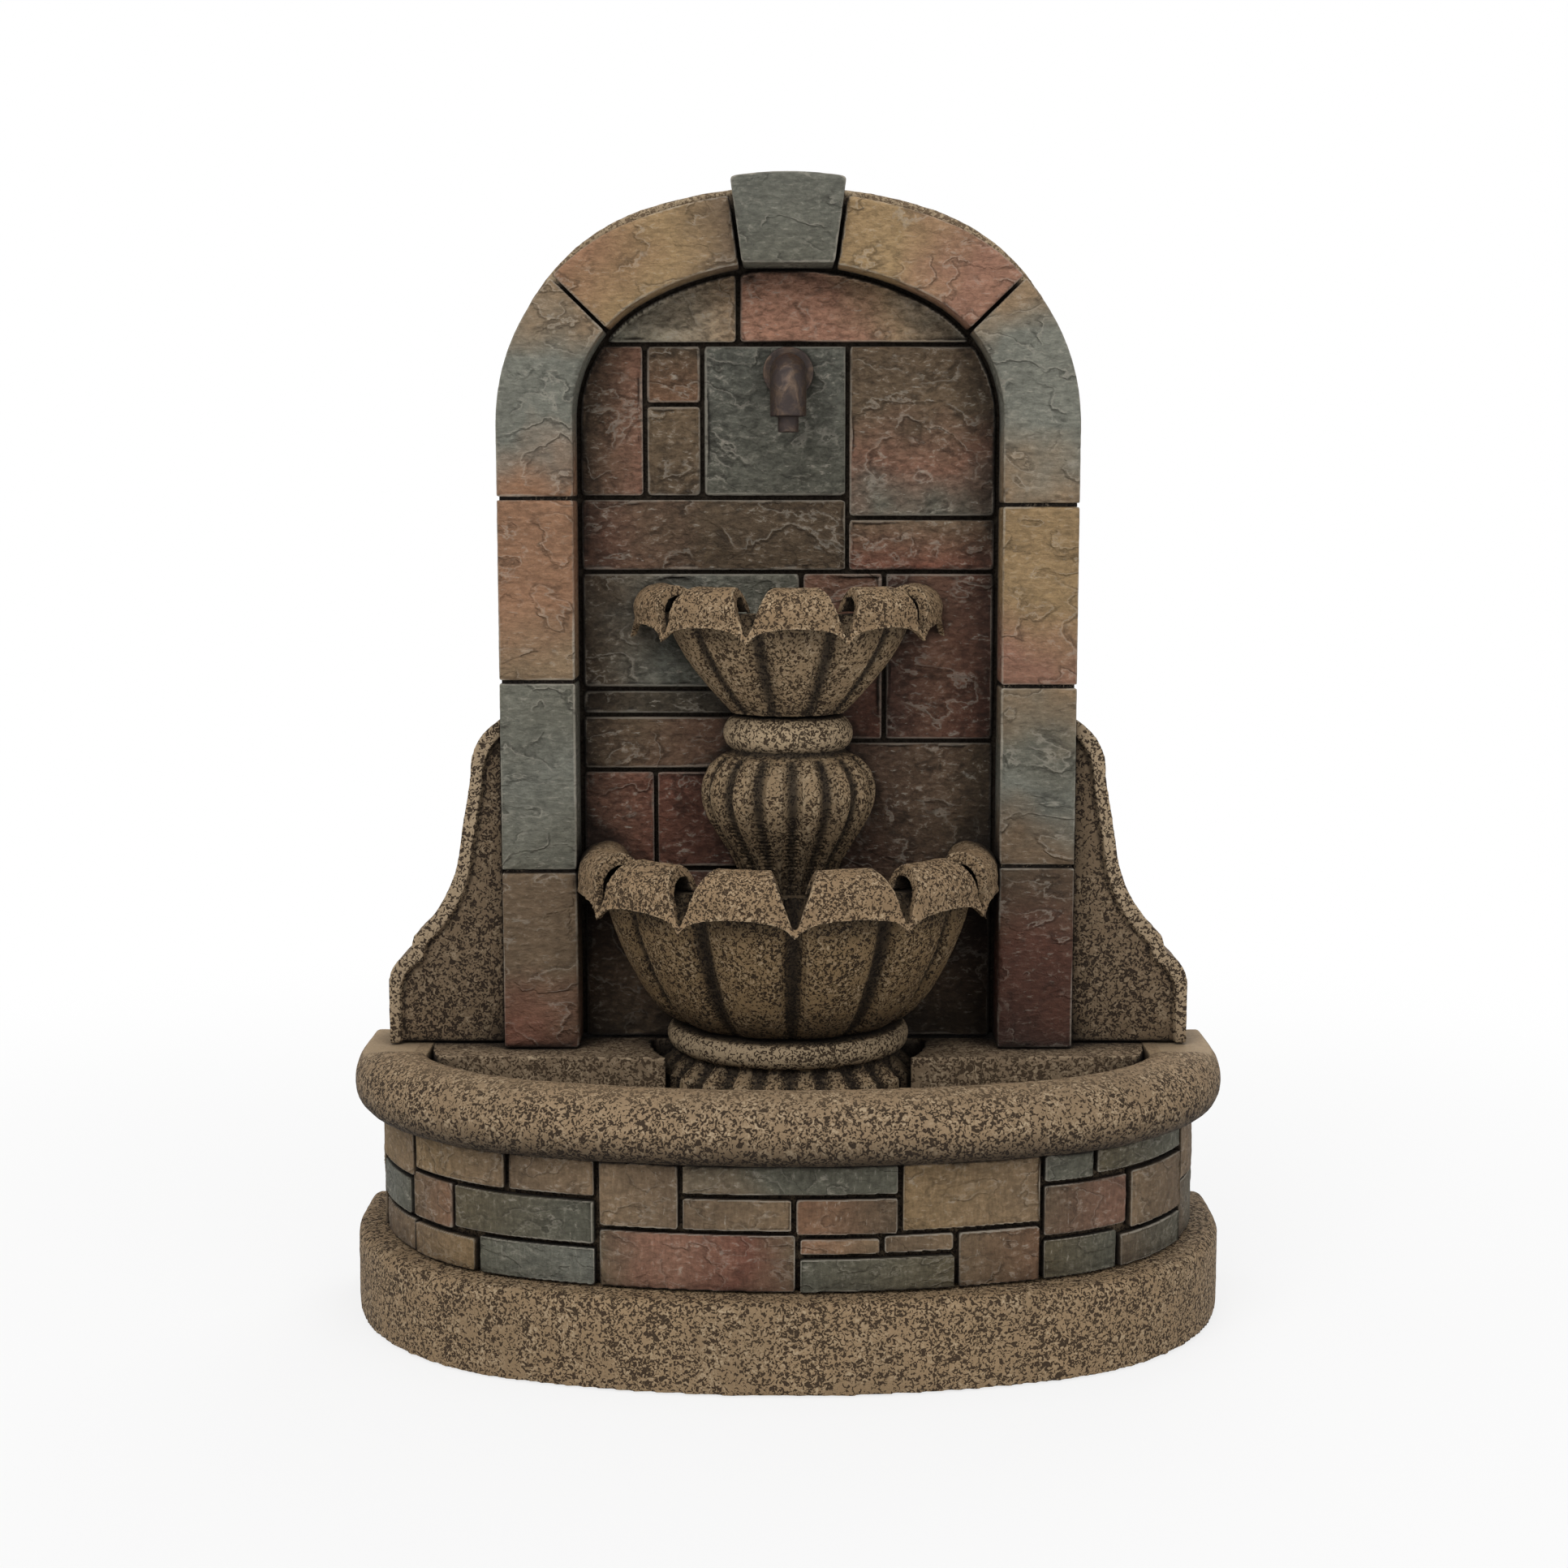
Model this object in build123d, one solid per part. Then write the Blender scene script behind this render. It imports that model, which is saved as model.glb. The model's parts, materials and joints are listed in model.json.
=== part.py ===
from build123d import *
import os
from math import atan2, cos, degrees, pi, sin, sqrt

# Stone-look fountain: a D-shaped basin, an arched wall with two leafed half bowls, and a pump.
# Millimetres, +Z up, front towards -Y, origin under the middle of the whole piece.

# Plan of the base: straight sides, round corners and a flatter front arc
HALF_WIDTH = 234.5
FRONT_RISE = 155.0
BACK_RUN = 31.0
CORNER_R = 140.0

# Plinth, basin and its coping
PLINTH_H = 47.0
PLINTH_EDGE_R = 6.0
PLINTH_RECESS = 8.0
PLINTH_FOOT_W = 28.0
BAND_INSET = 13.5
FACING_T = 6.0
TUB_WALL = 12.0
TUB_FLOOR = 10.0
TUB_TOP_Z = 112.0
COPING_W = 41.0
COPING_CREST_Z = 147.5
COPING_CREST_IN = 20.0
COPING_NOSE_Z = 124.0
COPING_THROAT = 11.0
COPING_INNER_Z = 130.0
COPING_LIP = 4.0
SEAT_Y = 36.0
SEAT_RAMP = 26.0
FACING_JOINT = 1.6
FACING_EDGE = 1.0

# Ledge behind the water, which carries the wall and the wings
LEDGE_Z = 140.5
LEDGE_FRONT_Y = 28.0
LEDGE_BOW = 5.0
FIT_GAP = 0.3

# Arched wall: slab, arch stones and the stones set between them
JAMB_W = 40.2
CROWN_T = 35.0
ARCH_CROWN_R = 224.0
ARCH_SHOULDER_R = 111.0
INNER_CROWN_R = 159.0
INNER_SHOULDER_R = 69.5
SLAB_CROWN_R = 250.0
SLAB_SHOULDER_R = 110.0
SLAB_T = 20.0
COLUMN_T = 32.0
ARCH_JOINT = 1.6
ARCH_EDGE = 1.5
JOINT_SHARE_OUT = 0.37
JOINT_SHARE_IN = 0.33
SAW_OVERRUN = 20.0
LEFT_BEDS = (0.886, 0.596, 0.291)
RIGHT_BEDS = (0.876, 0.589, 0.299)
KEY_TOP_Z = 600.0
KEY_H = 46.0
KEY_OVER_SLAB = 2.0
KEY_OVER_ARCH = 9.5
KEY_TOP_W = 60.0
KEY_BOTTOM_W = 48.0
KEY_PROUD = 5.0
KEY_CROWN = 2.5

WALL_STONE_T = 6.0
WALL_STONE_STEP = 0.9
WALL_MARGIN = 2.0
WALL_JOINT = 2.2
WALL_EDGE = 0.8

# Wings beside the wall, their outline given in from the outer side and up from the square foot
WING_T = 40.5
WING_SET_IN = 18.6
WING_FOOT_W = 63.5
WING_SIDE_Z = 175.0
WING_TOP_Z = 317.5
WING_SHOULDER = (12.0, 16.0)
WING_NECK = (14.0, 25.0)
WING_HOLLOW = (40.0, 77.0)
WING_HEAD = (46.0, 112.0)
SHOULDER_BOW = 2.8
HOLLOW_BOW = 5.8
HEAD_BOW = 5.5
WING_FIELD_DEPTH = 3.0
WING_BORDER = 7.0
WING_BORDER_TOP = 4.9

# Half bowls: both stand on one upright axis in front of the wall
BOWL_AXIS_Y = 62.0
BOWL_WALL = 7.0
BOWL_BOW = 7.8
LIP_T = 7.0

LOWER_LEAVES = 12
LOWER_TURN = 0.053
LOWER_BOTTOM_Z = 154.0
LOWER_FLOOR_Z = 164.0
LOWER_LIP_Z = 236.0
LOWER_CREST_Z = 250.0
LOWER_CREST_R = 101.0
LOWER_FLAP_R = 117.0
LOWER_TIP_Z = 217.0
LOWER_NOTCH_W = 21.0
LOWER_PROFILE = ((0.0, 58.0), (4.0, 66.0), (23.0, 82.0), (54.0, 96.0), (82.0, 100.0))

UPPER_LEAVES = 10
UPPER_TURN = 0.586
UPPER_BOTTOM_Z = 320.0
UPPER_FLOOR_Z = 330.0
UPPER_LIP_Z = 376.0
UPPER_CREST_Z = 389.0
UPPER_CREST_R = 71.5
UPPER_FLAP_R = 85.0
UPPER_TIP_Z = 359.0
UPPER_NOTCH_W = 18.0
UPPER_PROFILE = ((0.0, 31.0), (16.0, 45.5), (38.0, 61.0), (56.0, 68.0))

# Lobes and leaves, their turns, depths and widths as shares of a lobe's radius or width
LOBE_DEPTH = 0.08
LOBE_EDGE = 0.35
SEAM_W = 0.11
LEAF_T = 5.0
LEAF_EDGE_T = 4.0
LEAF_FLARE = 3.0
LEAF_KNEE = 0.42
LEAF_ROOT = 7.0
LEAF_INSIDE_BOW = 5.9
LEAF_FOLD_BOW = 5.0
LEAF_UNDER_BOW = 5.5
LEAF_RISE = 8.0
LEAF_POINT = 0.40
POINT_BOW = 1.5
NOTCH_RISE = 4.5
LEAF_SWEEP = 20.0

# Stems under the bowls
FOOT_LOBES = 24
FOOT_R = 73.0
FOOT_FLARE_R = 71.0
FOOT_FLARE_H = 9.0
FOOT_NECK_R = 60.0
FOOT_DEPTH = 0.09
RING_R = 66.0
RING_H = 16.0
STEM_LOBES = 15
STEM_TURN = 0.125
STEM_R = 17.0
BULB_PROFILE = (
    (205.0, 19.0), (233.0, 27.0), (256.0, 39.5), (279.0, 47.4), (292.0, 43.0), (299.0, 34.0),
)
COLLAR_R = 35.3

# Water spout: half-inch copper elbow on a wall flange
SPOUT_DROP = 55.5
ELBOW_OD = 19.2
ELBOW_BEND_R = 12.0
ELBOW_STUB = 7.0
ELBOW_LEG = 12.0
PIPE_OD = 15.9
PIPE_BORE = 13.4
FLANGE_OD = 27.0
FLANGE_T = 3.0
NOZZLE_OD = 11.0
NOZZLE_BORE = 7.0
NOZZLE_L = 8.0
SLIP = 0.05
NUT_W = 24.0
NUT_T = 2.0
NUT_CLEAR = 1.0

# Hose in the wall's chase and the hatch behind it
HOSE_OD = 10.0
HOSE_BORE = 7.0
HOSE_TUB_Y = 73.5
HOSE_BEND_R = 48.0
HOSE_SWING_R = 43.0
HOSE_LEAN_Z = 132.0
HOSE_LEAN = 2.1
HOSE_CLEAR = 2.0
CHASE_SKIN = 3.0
CHASE_DEPTH = 13.0
CHASE_W = 15.0
SPOUT_POCKET = 34.0
HATCH_W = 84.0
HATCH_H = 120.0
HATCH_Z = 180.0
HATCH_LIP = 7.0
HATCH_RIB = 2.0
HATCH_RIB_DEPTH = 6.0
SCOOP_R = 10.0
SCOOP_W = 24.0
SCOOP_OUT = 8.0
SCOOP_DROP = 14.0
CLAMP_T = 1.2
CLAMP_W = 7.0
CLAMP_SET = 3.0

# Pump under the ledge
PUMP_X = 112.0
PUMP_W = 44.0
PUMP_H = 42.0
PUMP_BODY_Y = 48.0
PUMP_BODY_T = 32.0
PUMP_COVER_T = 10.0
PUMP_WALL = 2.0
PUMP_EDGE_R = 4.0
SUCKER_H = 5.0
SUCKER_R = 6.0
CHAMBER_R = 14.5
CHAMBER_T = 9.0
ROTOR_R = 7.2
ROTOR_T = 14.0
ROTOR_PLAY = 0.6
ROTOR_END_PLAY = 1.0
MAGNET_SET = 0.5
BLADES = 6
BLADE_R = 12.5
BLADE_T = 1.6
BLADE_H = 6.5
HUB_R = 7.5
HUB_T = 1.5
SHAFT_R = 1.5
SHAFT_PLAY = 0.5
BUSH_R = 4.0
BUSH_T = 3.0
BUSH_SEAT = 1.5
BARB_L = 16.0
BARB_WALL = 1.2
OUTLET_DEPTH = 6.0
HOSE_TUB_Z = 72.0
GLAND_R = 5.0
GLAND_H = 6.0
GLAND_X = 8.0
GLAND_Y = 22.4
SLOTS = 4
SLOT_W = 1.8
SLOT_PITCH = 3.4
SLOT_START = 8.5
SLOT_LOW = 8.0
SLOT_HIGH = 6.0
DIAL_R = 7.0
DIAL_T = 3.0
DIAL_UP = 10.0
DIAL_PIN_R = 2.0
DIAL_RIDGE = 2.0
SUCKER_IN = 3.0
SUCKER_END = 1.0
GROMMET_X = 165.0
GROMMET_Z = 100.0
GROMMET_R = 7.0
GROMMET_BORE_R = 3.2
GROMMET_LIP = 2.5

# Worked out from the sizes above
DEPTH = FRONT_RISE + BACK_RUN
CHORD_Y = FRONT_RISE - DEPTH / 2
BACK_Y = DEPTH / 2
CORNER_X = HALF_WIDTH - CORNER_R
FRONT_R = (CORNER_X**2 + FRONT_RISE**2 - CORNER_R**2) / (2 * (FRONT_RISE - CORNER_R))
FRONT_ARC_Y = CHORD_Y - FRONT_RISE + FRONT_R
PLAN_TURN = atan2(CORNER_X, FRONT_ARC_Y - CHORD_Y)
ARCH_HALF_W = HALF_WIDTH - WING_SET_IN - WING_FOOT_W
ARCH_INNER_W = ARCH_HALF_W - JAMB_W
KEY_BOTTOM_Z = KEY_TOP_Z - KEY_H
SLAB_CROWN_Z = KEY_TOP_Z - KEY_OVER_SLAB
ARCH_CROWN_Z = KEY_TOP_Z - KEY_OVER_ARCH
INNER_CROWN_Z = ARCH_CROWN_Z - CROWN_T
PANEL_H = INNER_CROWN_Z - LEDGE_Z
SPOUT_Z = INNER_CROWN_Z - SPOUT_DROP
MOUTH_Z = SPOUT_Z - ELBOW_BEND_R - ELBOW_LEG
NOZZLE_Z = MOUTH_Z - NOZZLE_L
TUB_INSET = BAND_INSET + FACING_T
TUB_FLOOR_Z = PLINTH_H + TUB_FLOOR
SLAB_Y = BACK_Y - SLAB_T
COLUMN_Y = SLAB_Y - COLUMN_T
WALL_FACE_Y = SLAB_Y - WALL_STONE_T
CHASE_Y = BACK_Y - CHASE_SKIN - CHASE_DEPTH
HOSE_CHASE_Y = CHASE_Y + CHASE_DEPTH / 2
RING_Z = LOWER_BOTTOM_Z - RING_H
WING_Y = BACK_Y - WING_T
PUMP_Z = TUB_FLOOR_Z + SUCKER_H
SHAFT_Z = PUMP_Z + PUMP_H / 2
COVER_Y = PUMP_BODY_Y - PUMP_COVER_T
ROTOR_POCKET_Y = PUMP_BODY_Y + CHAMBER_T + ROTOR_T + ROTOR_END_PLAY
DIAL_Z = PUMP_Z + DIAL_UP
PIPE_END_Y = CHASE_Y + NUT_T
BARB_R = HOSE_BORE / 2 - SLIP
BARB_BORE_R = BARB_R - BARB_WALL
HOSE_TOP_Z = SPOUT_Z - NUT_W / sqrt(3) - NUT_CLEAR
HOSE_START_X = PUMP_X - PUMP_W / 2 - HOSE_CLEAR
BIG = 2000.0


def save(name, shape):
    """Write one node, as one solid or as a group of separate solids."""
    export_step(shape, f"parts/{name}.step")


def block(x0, x1, y0, y1, z0, z1):
    """Box between two corners."""
    return Pos((x0 + x1) / 2, (y0 + y1) / 2, (z0 + z1) / 2) * Box(x1 - x0, y1 - y0, z1 - z0)


def rod(radius, start, length, axis):
    """Cylinder from a start point along +X, +Y or +Z."""
    turn = {"X": Rot(0, 90, 0), "Y": Rot(-90, 0, 0), "Z": Rot(0, 0, 0)}[axis]
    base = (Align.CENTER, Align.CENTER, Align.MIN)
    return Pos(*start) * turn * Cylinder(radius, length, align=base)


def tube(outer, inner, start, length, axis):
    """Hollow cylinder from a start point along an axis."""
    return rod(outer, start, length, axis) - rod(inner, start, length, axis)


def face_of(*edges):
    """Flat face inside a closed run of edges."""
    return Face(Wire(edges))


def bowed(start, end, bow):
    """Arc between two points that swells to the right of the way it runs, or left if negative."""
    start = Vector(*start)
    end = Vector(*end)
    chord = end - start
    right = Vector(chord.Y, -chord.X).normalized()
    return ThreePointArc(start, (start + end) / 2 + right * bow, end)


def quarter(side, crest):
    """Middle point of a quarter ellipse between its upright side and its level crest."""
    share = sin(pi / 4)
    return crest[0] + (side[0] - crest[0]) * share, side[1] + (crest[1] - side[1]) * share


def raised(face, height, z=0.0):
    """Stand a plan on a height and extrude it upwards."""
    return Pos(0, 0, z) * extrude(face, height, dir=(0, 0, 1))


def mirrored(shape):
    """The same piece on the other side of the middle plane."""
    return mirror(shape, about=Plane.YZ)


# Plan of the base


def plan_at(run, inset):
    """Point and outward direction on the inset plan line, run measured from the front middle."""
    side = 1 if run >= 0 else -1
    run = abs(run)
    front = (FRONT_R - inset) * PLAN_TURN
    corner = (CORNER_R - inset) * (pi / 2 - PLAN_TURN)
    if run <= front:
        angle = run / (FRONT_R - inset)
        x = (FRONT_R - inset) * sin(angle)
        y = FRONT_ARC_Y - (FRONT_R - inset) * cos(angle)
    elif run <= front + corner:
        angle = PLAN_TURN + (run - front) / (CORNER_R - inset)
        x = CORNER_X + (CORNER_R - inset) * sin(angle)
        y = CHORD_Y - (CORNER_R - inset) * cos(angle)
    else:
        angle = pi / 2
        x = HALF_WIDTH - inset
        y = CHORD_Y + run - front - corner
    return Vector(side * x, y), Vector(side * sin(angle), -cos(angle))


def plan_length(inset):
    """Run of the plan line from the front middle to the back corner."""
    front = (FRONT_R - inset) * PLAN_TURN
    return front + (CORNER_R - inset) * (pi / 2 - PLAN_TURN) + BACK_RUN


def plan_face(inset, back_inset=0.0):
    """The base plan, drawn in by an inset at the front and sides and another at the back."""
    front = (FRONT_R - inset) * PLAN_TURN
    corner = (CORNER_R - inset) * (pi / 2 - PLAN_TURN)
    half = HALF_WIDTH - inset
    back = BACK_Y - back_inset
    marks = [front + corner, front + corner / 2, front]
    left = [plan_at(-run, inset)[0] for run in marks]
    right = [plan_at(run, inset)[0] for run in reversed(marks)]
    return face_of(
        Line((-half, back), left[0]),
        ThreePointArc(left[0], left[1], left[2]),
        ThreePointArc(left[2], plan_at(0, inset)[0], right[0]),
        ThreePointArc(right[0], right[1], right[2]),
        Line(right[2], (half, back)),
        Line((half, back), (-half, back)),
    )


def along_plan(section):
    """Carry a section round the plan: x in the section is the offset from the plan line."""
    upright = Plane.XZ
    ahead = Plane((CORNER_X, CHORD_Y, 0), x_dir=(sin(PLAN_TURN), -cos(PLAN_TURN), 0),
                  z_dir=(-cos(PLAN_TURN), -sin(PLAN_TURN), 0))
    front = Plane((0, FRONT_ARC_Y, 0), x_dir=(0, -1, 0), z_dir=(-1, 0, 0))
    side = extrude(upright * Pos(HALF_WIDTH, 0) * section, amount=BACK_RUN, dir=(0, 1, 0))
    corner_axis = Axis((CORNER_X, CHORD_Y, 0), (0, 0, 1))
    front_axis = Axis((0, FRONT_ARC_Y, 0), (0, 0, 1))
    corner = revolve(ahead * Pos(CORNER_R, 0) * section, corner_axis, 90 - degrees(PLAN_TURN))
    nose = revolve(front * Pos(FRONT_R, 0) * section, front_axis, degrees(PLAN_TURN))
    half = Pos(0, CHORD_Y, 0) * side + corner + nose
    return half + mirrored(half)


# Basin


def make_plinth():
    """Solid D-shaped base with a rounded top edge and a shallow recess under it."""
    body = raised(plan_face(0), PLINTH_H)
    top = body.faces().sort_by(Axis.Z)[-1]
    round_edges = [e for e in top.edges() if e.center().Y < BACK_Y - 1]
    body = fillet(round_edges, PLINTH_EDGE_R)
    return body - raised(plan_face(PLINTH_FOOT_W, PLINTH_FOOT_W), PLINTH_RECESS)


def make_tub():
    """Water tub: floor, round front wall and a straight back wall with the cable hole."""
    outer = raised(plan_face(TUB_INSET), TUB_TOP_Z - PLINTH_H, PLINTH_H)
    tub = outer - raised(plan_face(TUB_INSET + TUB_WALL, TUB_WALL), TUB_TOP_Z, TUB_FLOOR_Z)
    return tub - rod(GROMMET_R, (GROMMET_X, BACK_Y - 2 * TUB_WALL, GROMMET_Z), 3 * TUB_WALL, "Y")


def make_coping():
    """Rolled rim on the tub wall, which slopes down to flat seats for the wings at its back ends."""
    throat = (-COPING_THROAT, TUB_TOP_Z)
    nose = (0, COPING_NOSE_Z)
    crest = (-COPING_CREST_IN, COPING_CREST_Z)
    inside = (-COPING_W, COPING_INNER_Z)
    heel = (-COPING_W, TUB_TOP_Z + COPING_LIP)
    toe = (-COPING_W + COPING_LIP, TUB_TOP_Z)
    section = face_of(
        Line(toe, throat),
        ThreePointArc(throat, quarter(nose, throat), nose),
        ThreePointArc(nose, quarter(nose, crest), crest),
        ThreePointArc(crest, quarter(inside, crest), inside),
        Line(inside, heel),
        Line(heel, toe),
    )
    top = 2 * COPING_CREST_Z - LEDGE_Z
    seat = face_of(
        Line((SEAT_Y, LEDGE_Z), (BIG, LEDGE_Z)),
        Line((BIG, LEDGE_Z), (BIG, top)),
        Line((BIG, top), (SEAT_Y - 2 * SEAT_RAMP, top)),
        Line((SEAT_Y - 2 * SEAT_RAMP, top), (SEAT_Y, LEDGE_Z)),
    )
    return along_plan(section) - Pos(-BIG / 2, 0, 0) * extrude(Plane.YZ * seat, BIG, dir=(1, 0, 0))


# Facing stones of the basin as (run from, run to, bottom, top), measured round the band
FACING_LEFT = (
    (-251, -204, 87, 112), (-203, -142, 92, 112), (-141, -95, 92, 112), (-94, -53, 78, 112),
    (-251, -208, 66, 86), (-207, -174, 66, 91), (-173, -95, 68, 91), (-52, 54, 96, 112),
    (-251, -205, 47, 65), (-204, -159, 47, 65), (-158, -95, 47, 67), (-94, 4, 47, 77),
    (-52, 2, 78, 95), (3, 54, 76, 95),
)
FACING_RIGHT = (
    (55, 126, 77, 112), (127, 155, 97, 112), (156, 226, 98, 112),
    (127, 177, 69, 96), (178, 226, 66, 97),
    (5, 45, 66, 75), (46, 82, 66, 76), (5, 82, 47, 65), (83, 126, 47, 76),
    (127, 170, 47, 68), (171, 226, 47, 65),
)
SIDE_BEDS = (47.0, 79.0, 112.0)
SIDE_RUN_LEFT = 252.0
SIDE_RUN_RIGHT = 227.0


def facing_stone(run0, run1, z0, z1, thickness):
    """One slab of the band: the stretch of a ring between two runs and two heights."""
    inner = TUB_INSET
    outer = TUB_INSET - thickness
    gap = FACING_JOINT / 2
    start, start_out = plan_at(run0 + gap, inner)
    end, end_out = plan_at(run1 - gap, inner)
    reach = 40.0
    wedge = face_of(
        Line(start - start_out * reach, start + start_out * reach),
        Line(start + start_out * reach, end + end_out * reach),
        Line(end + end_out * reach, end - end_out * reach),
        Line(end - end_out * reach, start - start_out * reach),
    )
    low = max(z0 + gap, PLINTH_H)
    high = min(z1 - gap, TUB_TOP_Z)
    ring = raised(plan_face(outer), high - low, low) - raised(plan_face(inner), high - low, low)
    return (ring & raised(wedge, high - low, low)).solid()


def make_facing():
    """All stones of the band, each a little thicker or thinner than the next."""
    end = plan_length(TUB_INSET)
    sides = []
    for low, high in zip(SIDE_BEDS, SIDE_BEDS[1:]):
        sides.append((-end, -SIDE_RUN_LEFT, low, high))
        sides.append((SIDE_RUN_RIGHT, end, low, high))
    stones = []
    for number, stone in enumerate(FACING_LEFT + FACING_RIGHT + tuple(sides)):
        thickness = FACING_T - FACING_EDGE * (number % 3) / 2
        stones.append(facing_stone(*stone, thickness))
    return Compound(children=stones)


def make_ledge():
    """Shelf behind the water, notched for the bowl foot and slotted for the hose."""
    half = HALF_WIDTH - COPING_W - FIT_GAP
    plan = face_of(
        ThreePointArc((-half, LEDGE_FRONT_Y), (0, LEDGE_FRONT_Y - LEDGE_BOW), (half, LEDGE_FRONT_Y)),
        Line((half, LEDGE_FRONT_Y), (half, BACK_Y)),
        Line((half, BACK_Y), (-half, BACK_Y)),
        Line((-half, BACK_Y), (-half, LEDGE_FRONT_Y)),
    )
    height = LEDGE_Z - TUB_TOP_Z
    ledge = raised(plan, height, TUB_TOP_Z) & raised(plan_face(COPING_W + FIT_GAP), height, TUB_TOP_Z)
    notch = FOOT_R + 3 * FIT_GAP
    ledge -= rod(notch, (0, BOWL_AXIS_Y, 0), BIG, "Z") & block(-BIG, BIG, -BIG, WALL_FACE_Y, 0, BIG)
    half_slot = CHASE_W / 2
    front = HOSE_TUB_Y - half_slot
    return ledge - block(-half_slot, half_slot, front, BACK_Y - CHASE_SKIN, 0, BIG)


# Arched wall


def shoulder_point(half, crown_z, crown_r, shoulder_r, share):
    """Point on an arch's right shoulder, from its meeting with the crown (0) to its spring (1)."""
    drop = sqrt((crown_r - shoulder_r) ** 2 - (half - shoulder_r) ** 2)
    meet = atan2(half - shoulder_r, drop)
    turn = meet + (pi / 2 - meet) * share
    return half - shoulder_r + shoulder_r * sin(turn), crown_z - crown_r + drop + shoulder_r * cos(turn)


def arch_face(half, crown_z, crown_r, shoulder_r, foot_z):
    """Arch outline seen from the front, drawn with x and z as its two axes."""
    sizes = (half, crown_z, crown_r, shoulder_r)
    meet, bulge, spring = (shoulder_point(*sizes, share) for share in (0, 0.5, 1))
    sides = Polyline((half, spring[1]), (half, foot_z), (-half, foot_z), (-half, spring[1]))
    return face_of(
        ThreePointArc((-half, spring[1]), (-bulge[0], bulge[1]), (-meet[0], meet[1])),
        ThreePointArc((-meet[0], meet[1]), (0, crown_z), meet),
        ThreePointArc(meet, bulge, (half, spring[1])),
        *sides.edges(),
    )


def front_prism(face, front_y, back_y):
    """Extrude an outline drawn in x and z from one depth to another."""
    return Pos(0, back_y, 0) * extrude(Plane.XZ * face, back_y - front_y, dir=(0, -1, 0))


def soften_front(stone, size):
    """Chamfer the edges round a stone's front face."""
    body = stone.solid()
    front = body.faces().sort_by(Axis.Y)[0]
    return body.chamfer(size, None, front.edges())


def key_face(grow=0.0, drop=0.0):
    """Keystone outline: wider at the top, round at the head, its sides run on below by a drop."""
    side_z = KEY_TOP_Z - KEY_CROWN
    slope = (KEY_TOP_W - KEY_BOTTOM_W) / 2 / (side_z - KEY_BOTTOM_Z)
    top = KEY_TOP_W / 2 + grow
    low = KEY_BOTTOM_W / 2 + grow - slope * drop
    low_z = KEY_BOTTOM_Z - drop
    return face_of(
        Line((-low, low_z), (-top, side_z)),
        ThreePointArc((-top, side_z), (0, KEY_TOP_Z), (top, side_z)),
        Line((top, side_z), (low, low_z)),
        Line((low, low_z), (-low, low_z)),
    )


def make_keystone():
    """Wedge at the head of the arch, a little proud of its neighbours."""
    return soften_front(front_prism(key_face(), COLUMN_Y - KEY_PROUD, SLAB_Y), ARCH_EDGE)


def make_arch_stones():
    """The stones of both jambs and the curve, cut out of one arch by their joints."""
    outer = (ARCH_HALF_W, ARCH_CROWN_Z, ARCH_CROWN_R, ARCH_SHOULDER_R)
    inner = (ARCH_INNER_W, INNER_CROWN_Z, INNER_CROWN_R, INNER_SHOULDER_R)
    arch = front_prism(arch_face(*outer, LEDGE_Z) - arch_face(*inner, LEDGE_Z), COLUMN_Y, SLAB_Y)
    arch -= front_prism(key_face(ARCH_JOINT, KEY_TOP_Z - KEY_BOTTOM_Z), COLUMN_Y - KEY_PROUD, BIG)
    joint_out = Vector(*shoulder_point(*outer, JOINT_SHARE_OUT))
    joint_in = Vector(*shoulder_point(*inner, JOINT_SHARE_IN))
    run = joint_out - joint_in
    middle = (joint_out + joint_in) / 2
    angle = degrees(atan2(run.Y, run.X))
    saw = Pos(middle.X, 0, middle.Y) * Rot(0, -angle, 0) * Box(run.length * 2, BIG, ARCH_JOINT)
    arch = arch - saw - mirrored(saw)
    spring_z = shoulder_point(*outer, 1)[1]
    for side, beds in ((-1, LEFT_BEDS), (1, RIGHT_BEDS)):
        reach = side * (ARCH_HALF_W + ARCH_INNER_W) / 2
        for share in beds:
            bed_z = LEDGE_Z + (spring_z - LEDGE_Z) * share
            arch -= Pos(reach, 0, bed_z) * Box(JAMB_W + SAW_OVERRUN, BIG, ARCH_JOINT)
    stones = {}
    for side, sign in (("left", -1), ("right", 1)):
        ours = [s for s in arch.solids() if sign * s.center().X > 0]
        ours.sort(key=lambda s: -s.center().Z)
        for number, stone in enumerate(ours, 1):
            stones[f"arch_stone_{side}_{number}"] = soften_front(stone, ARCH_EDGE)
    return stones


def make_slab():
    """Back slab with the hose chase inside it, the spout hole and the hatch opening."""
    outline = arch_face(ARCH_HALF_W, SLAB_CROWN_Z, SLAB_CROWN_R, SLAB_SHOULDER_R, LEDGE_Z)
    slab = front_prism(outline, SLAB_Y, BACK_Y)
    half = CHASE_W / 2
    chase_back = BACK_Y - CHASE_SKIN
    slab -= block(-half, half, CHASE_Y, chase_back, LEDGE_Z, SPOUT_Z)
    slab -= block(-half, half, SLAB_Y, chase_back, LEDGE_Z, HATCH_Z + HATCH_LIP)
    pocket = SPOUT_POCKET / 2
    slab -= block(-pocket, pocket, CHASE_Y, chase_back, SPOUT_Z - pocket, SPOUT_Z + pocket)
    slab -= rod(PIPE_OD / 2 + SLIP, (0, SLAB_Y, SPOUT_Z), CHASE_Y - SLAB_Y, "Y")
    slab -= block(-HATCH_W / 2, HATCH_W / 2, chase_back, BACK_Y, HATCH_Z, HATCH_Z + HATCH_H)
    room = HATCH_W / 2 - HATCH_LIP
    low = HATCH_Z + HATCH_LIP
    high = HATCH_Z + HATCH_H - HATCH_LIP
    return slab - block(-room, room, CHASE_Y, chase_back, low, high)


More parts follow.
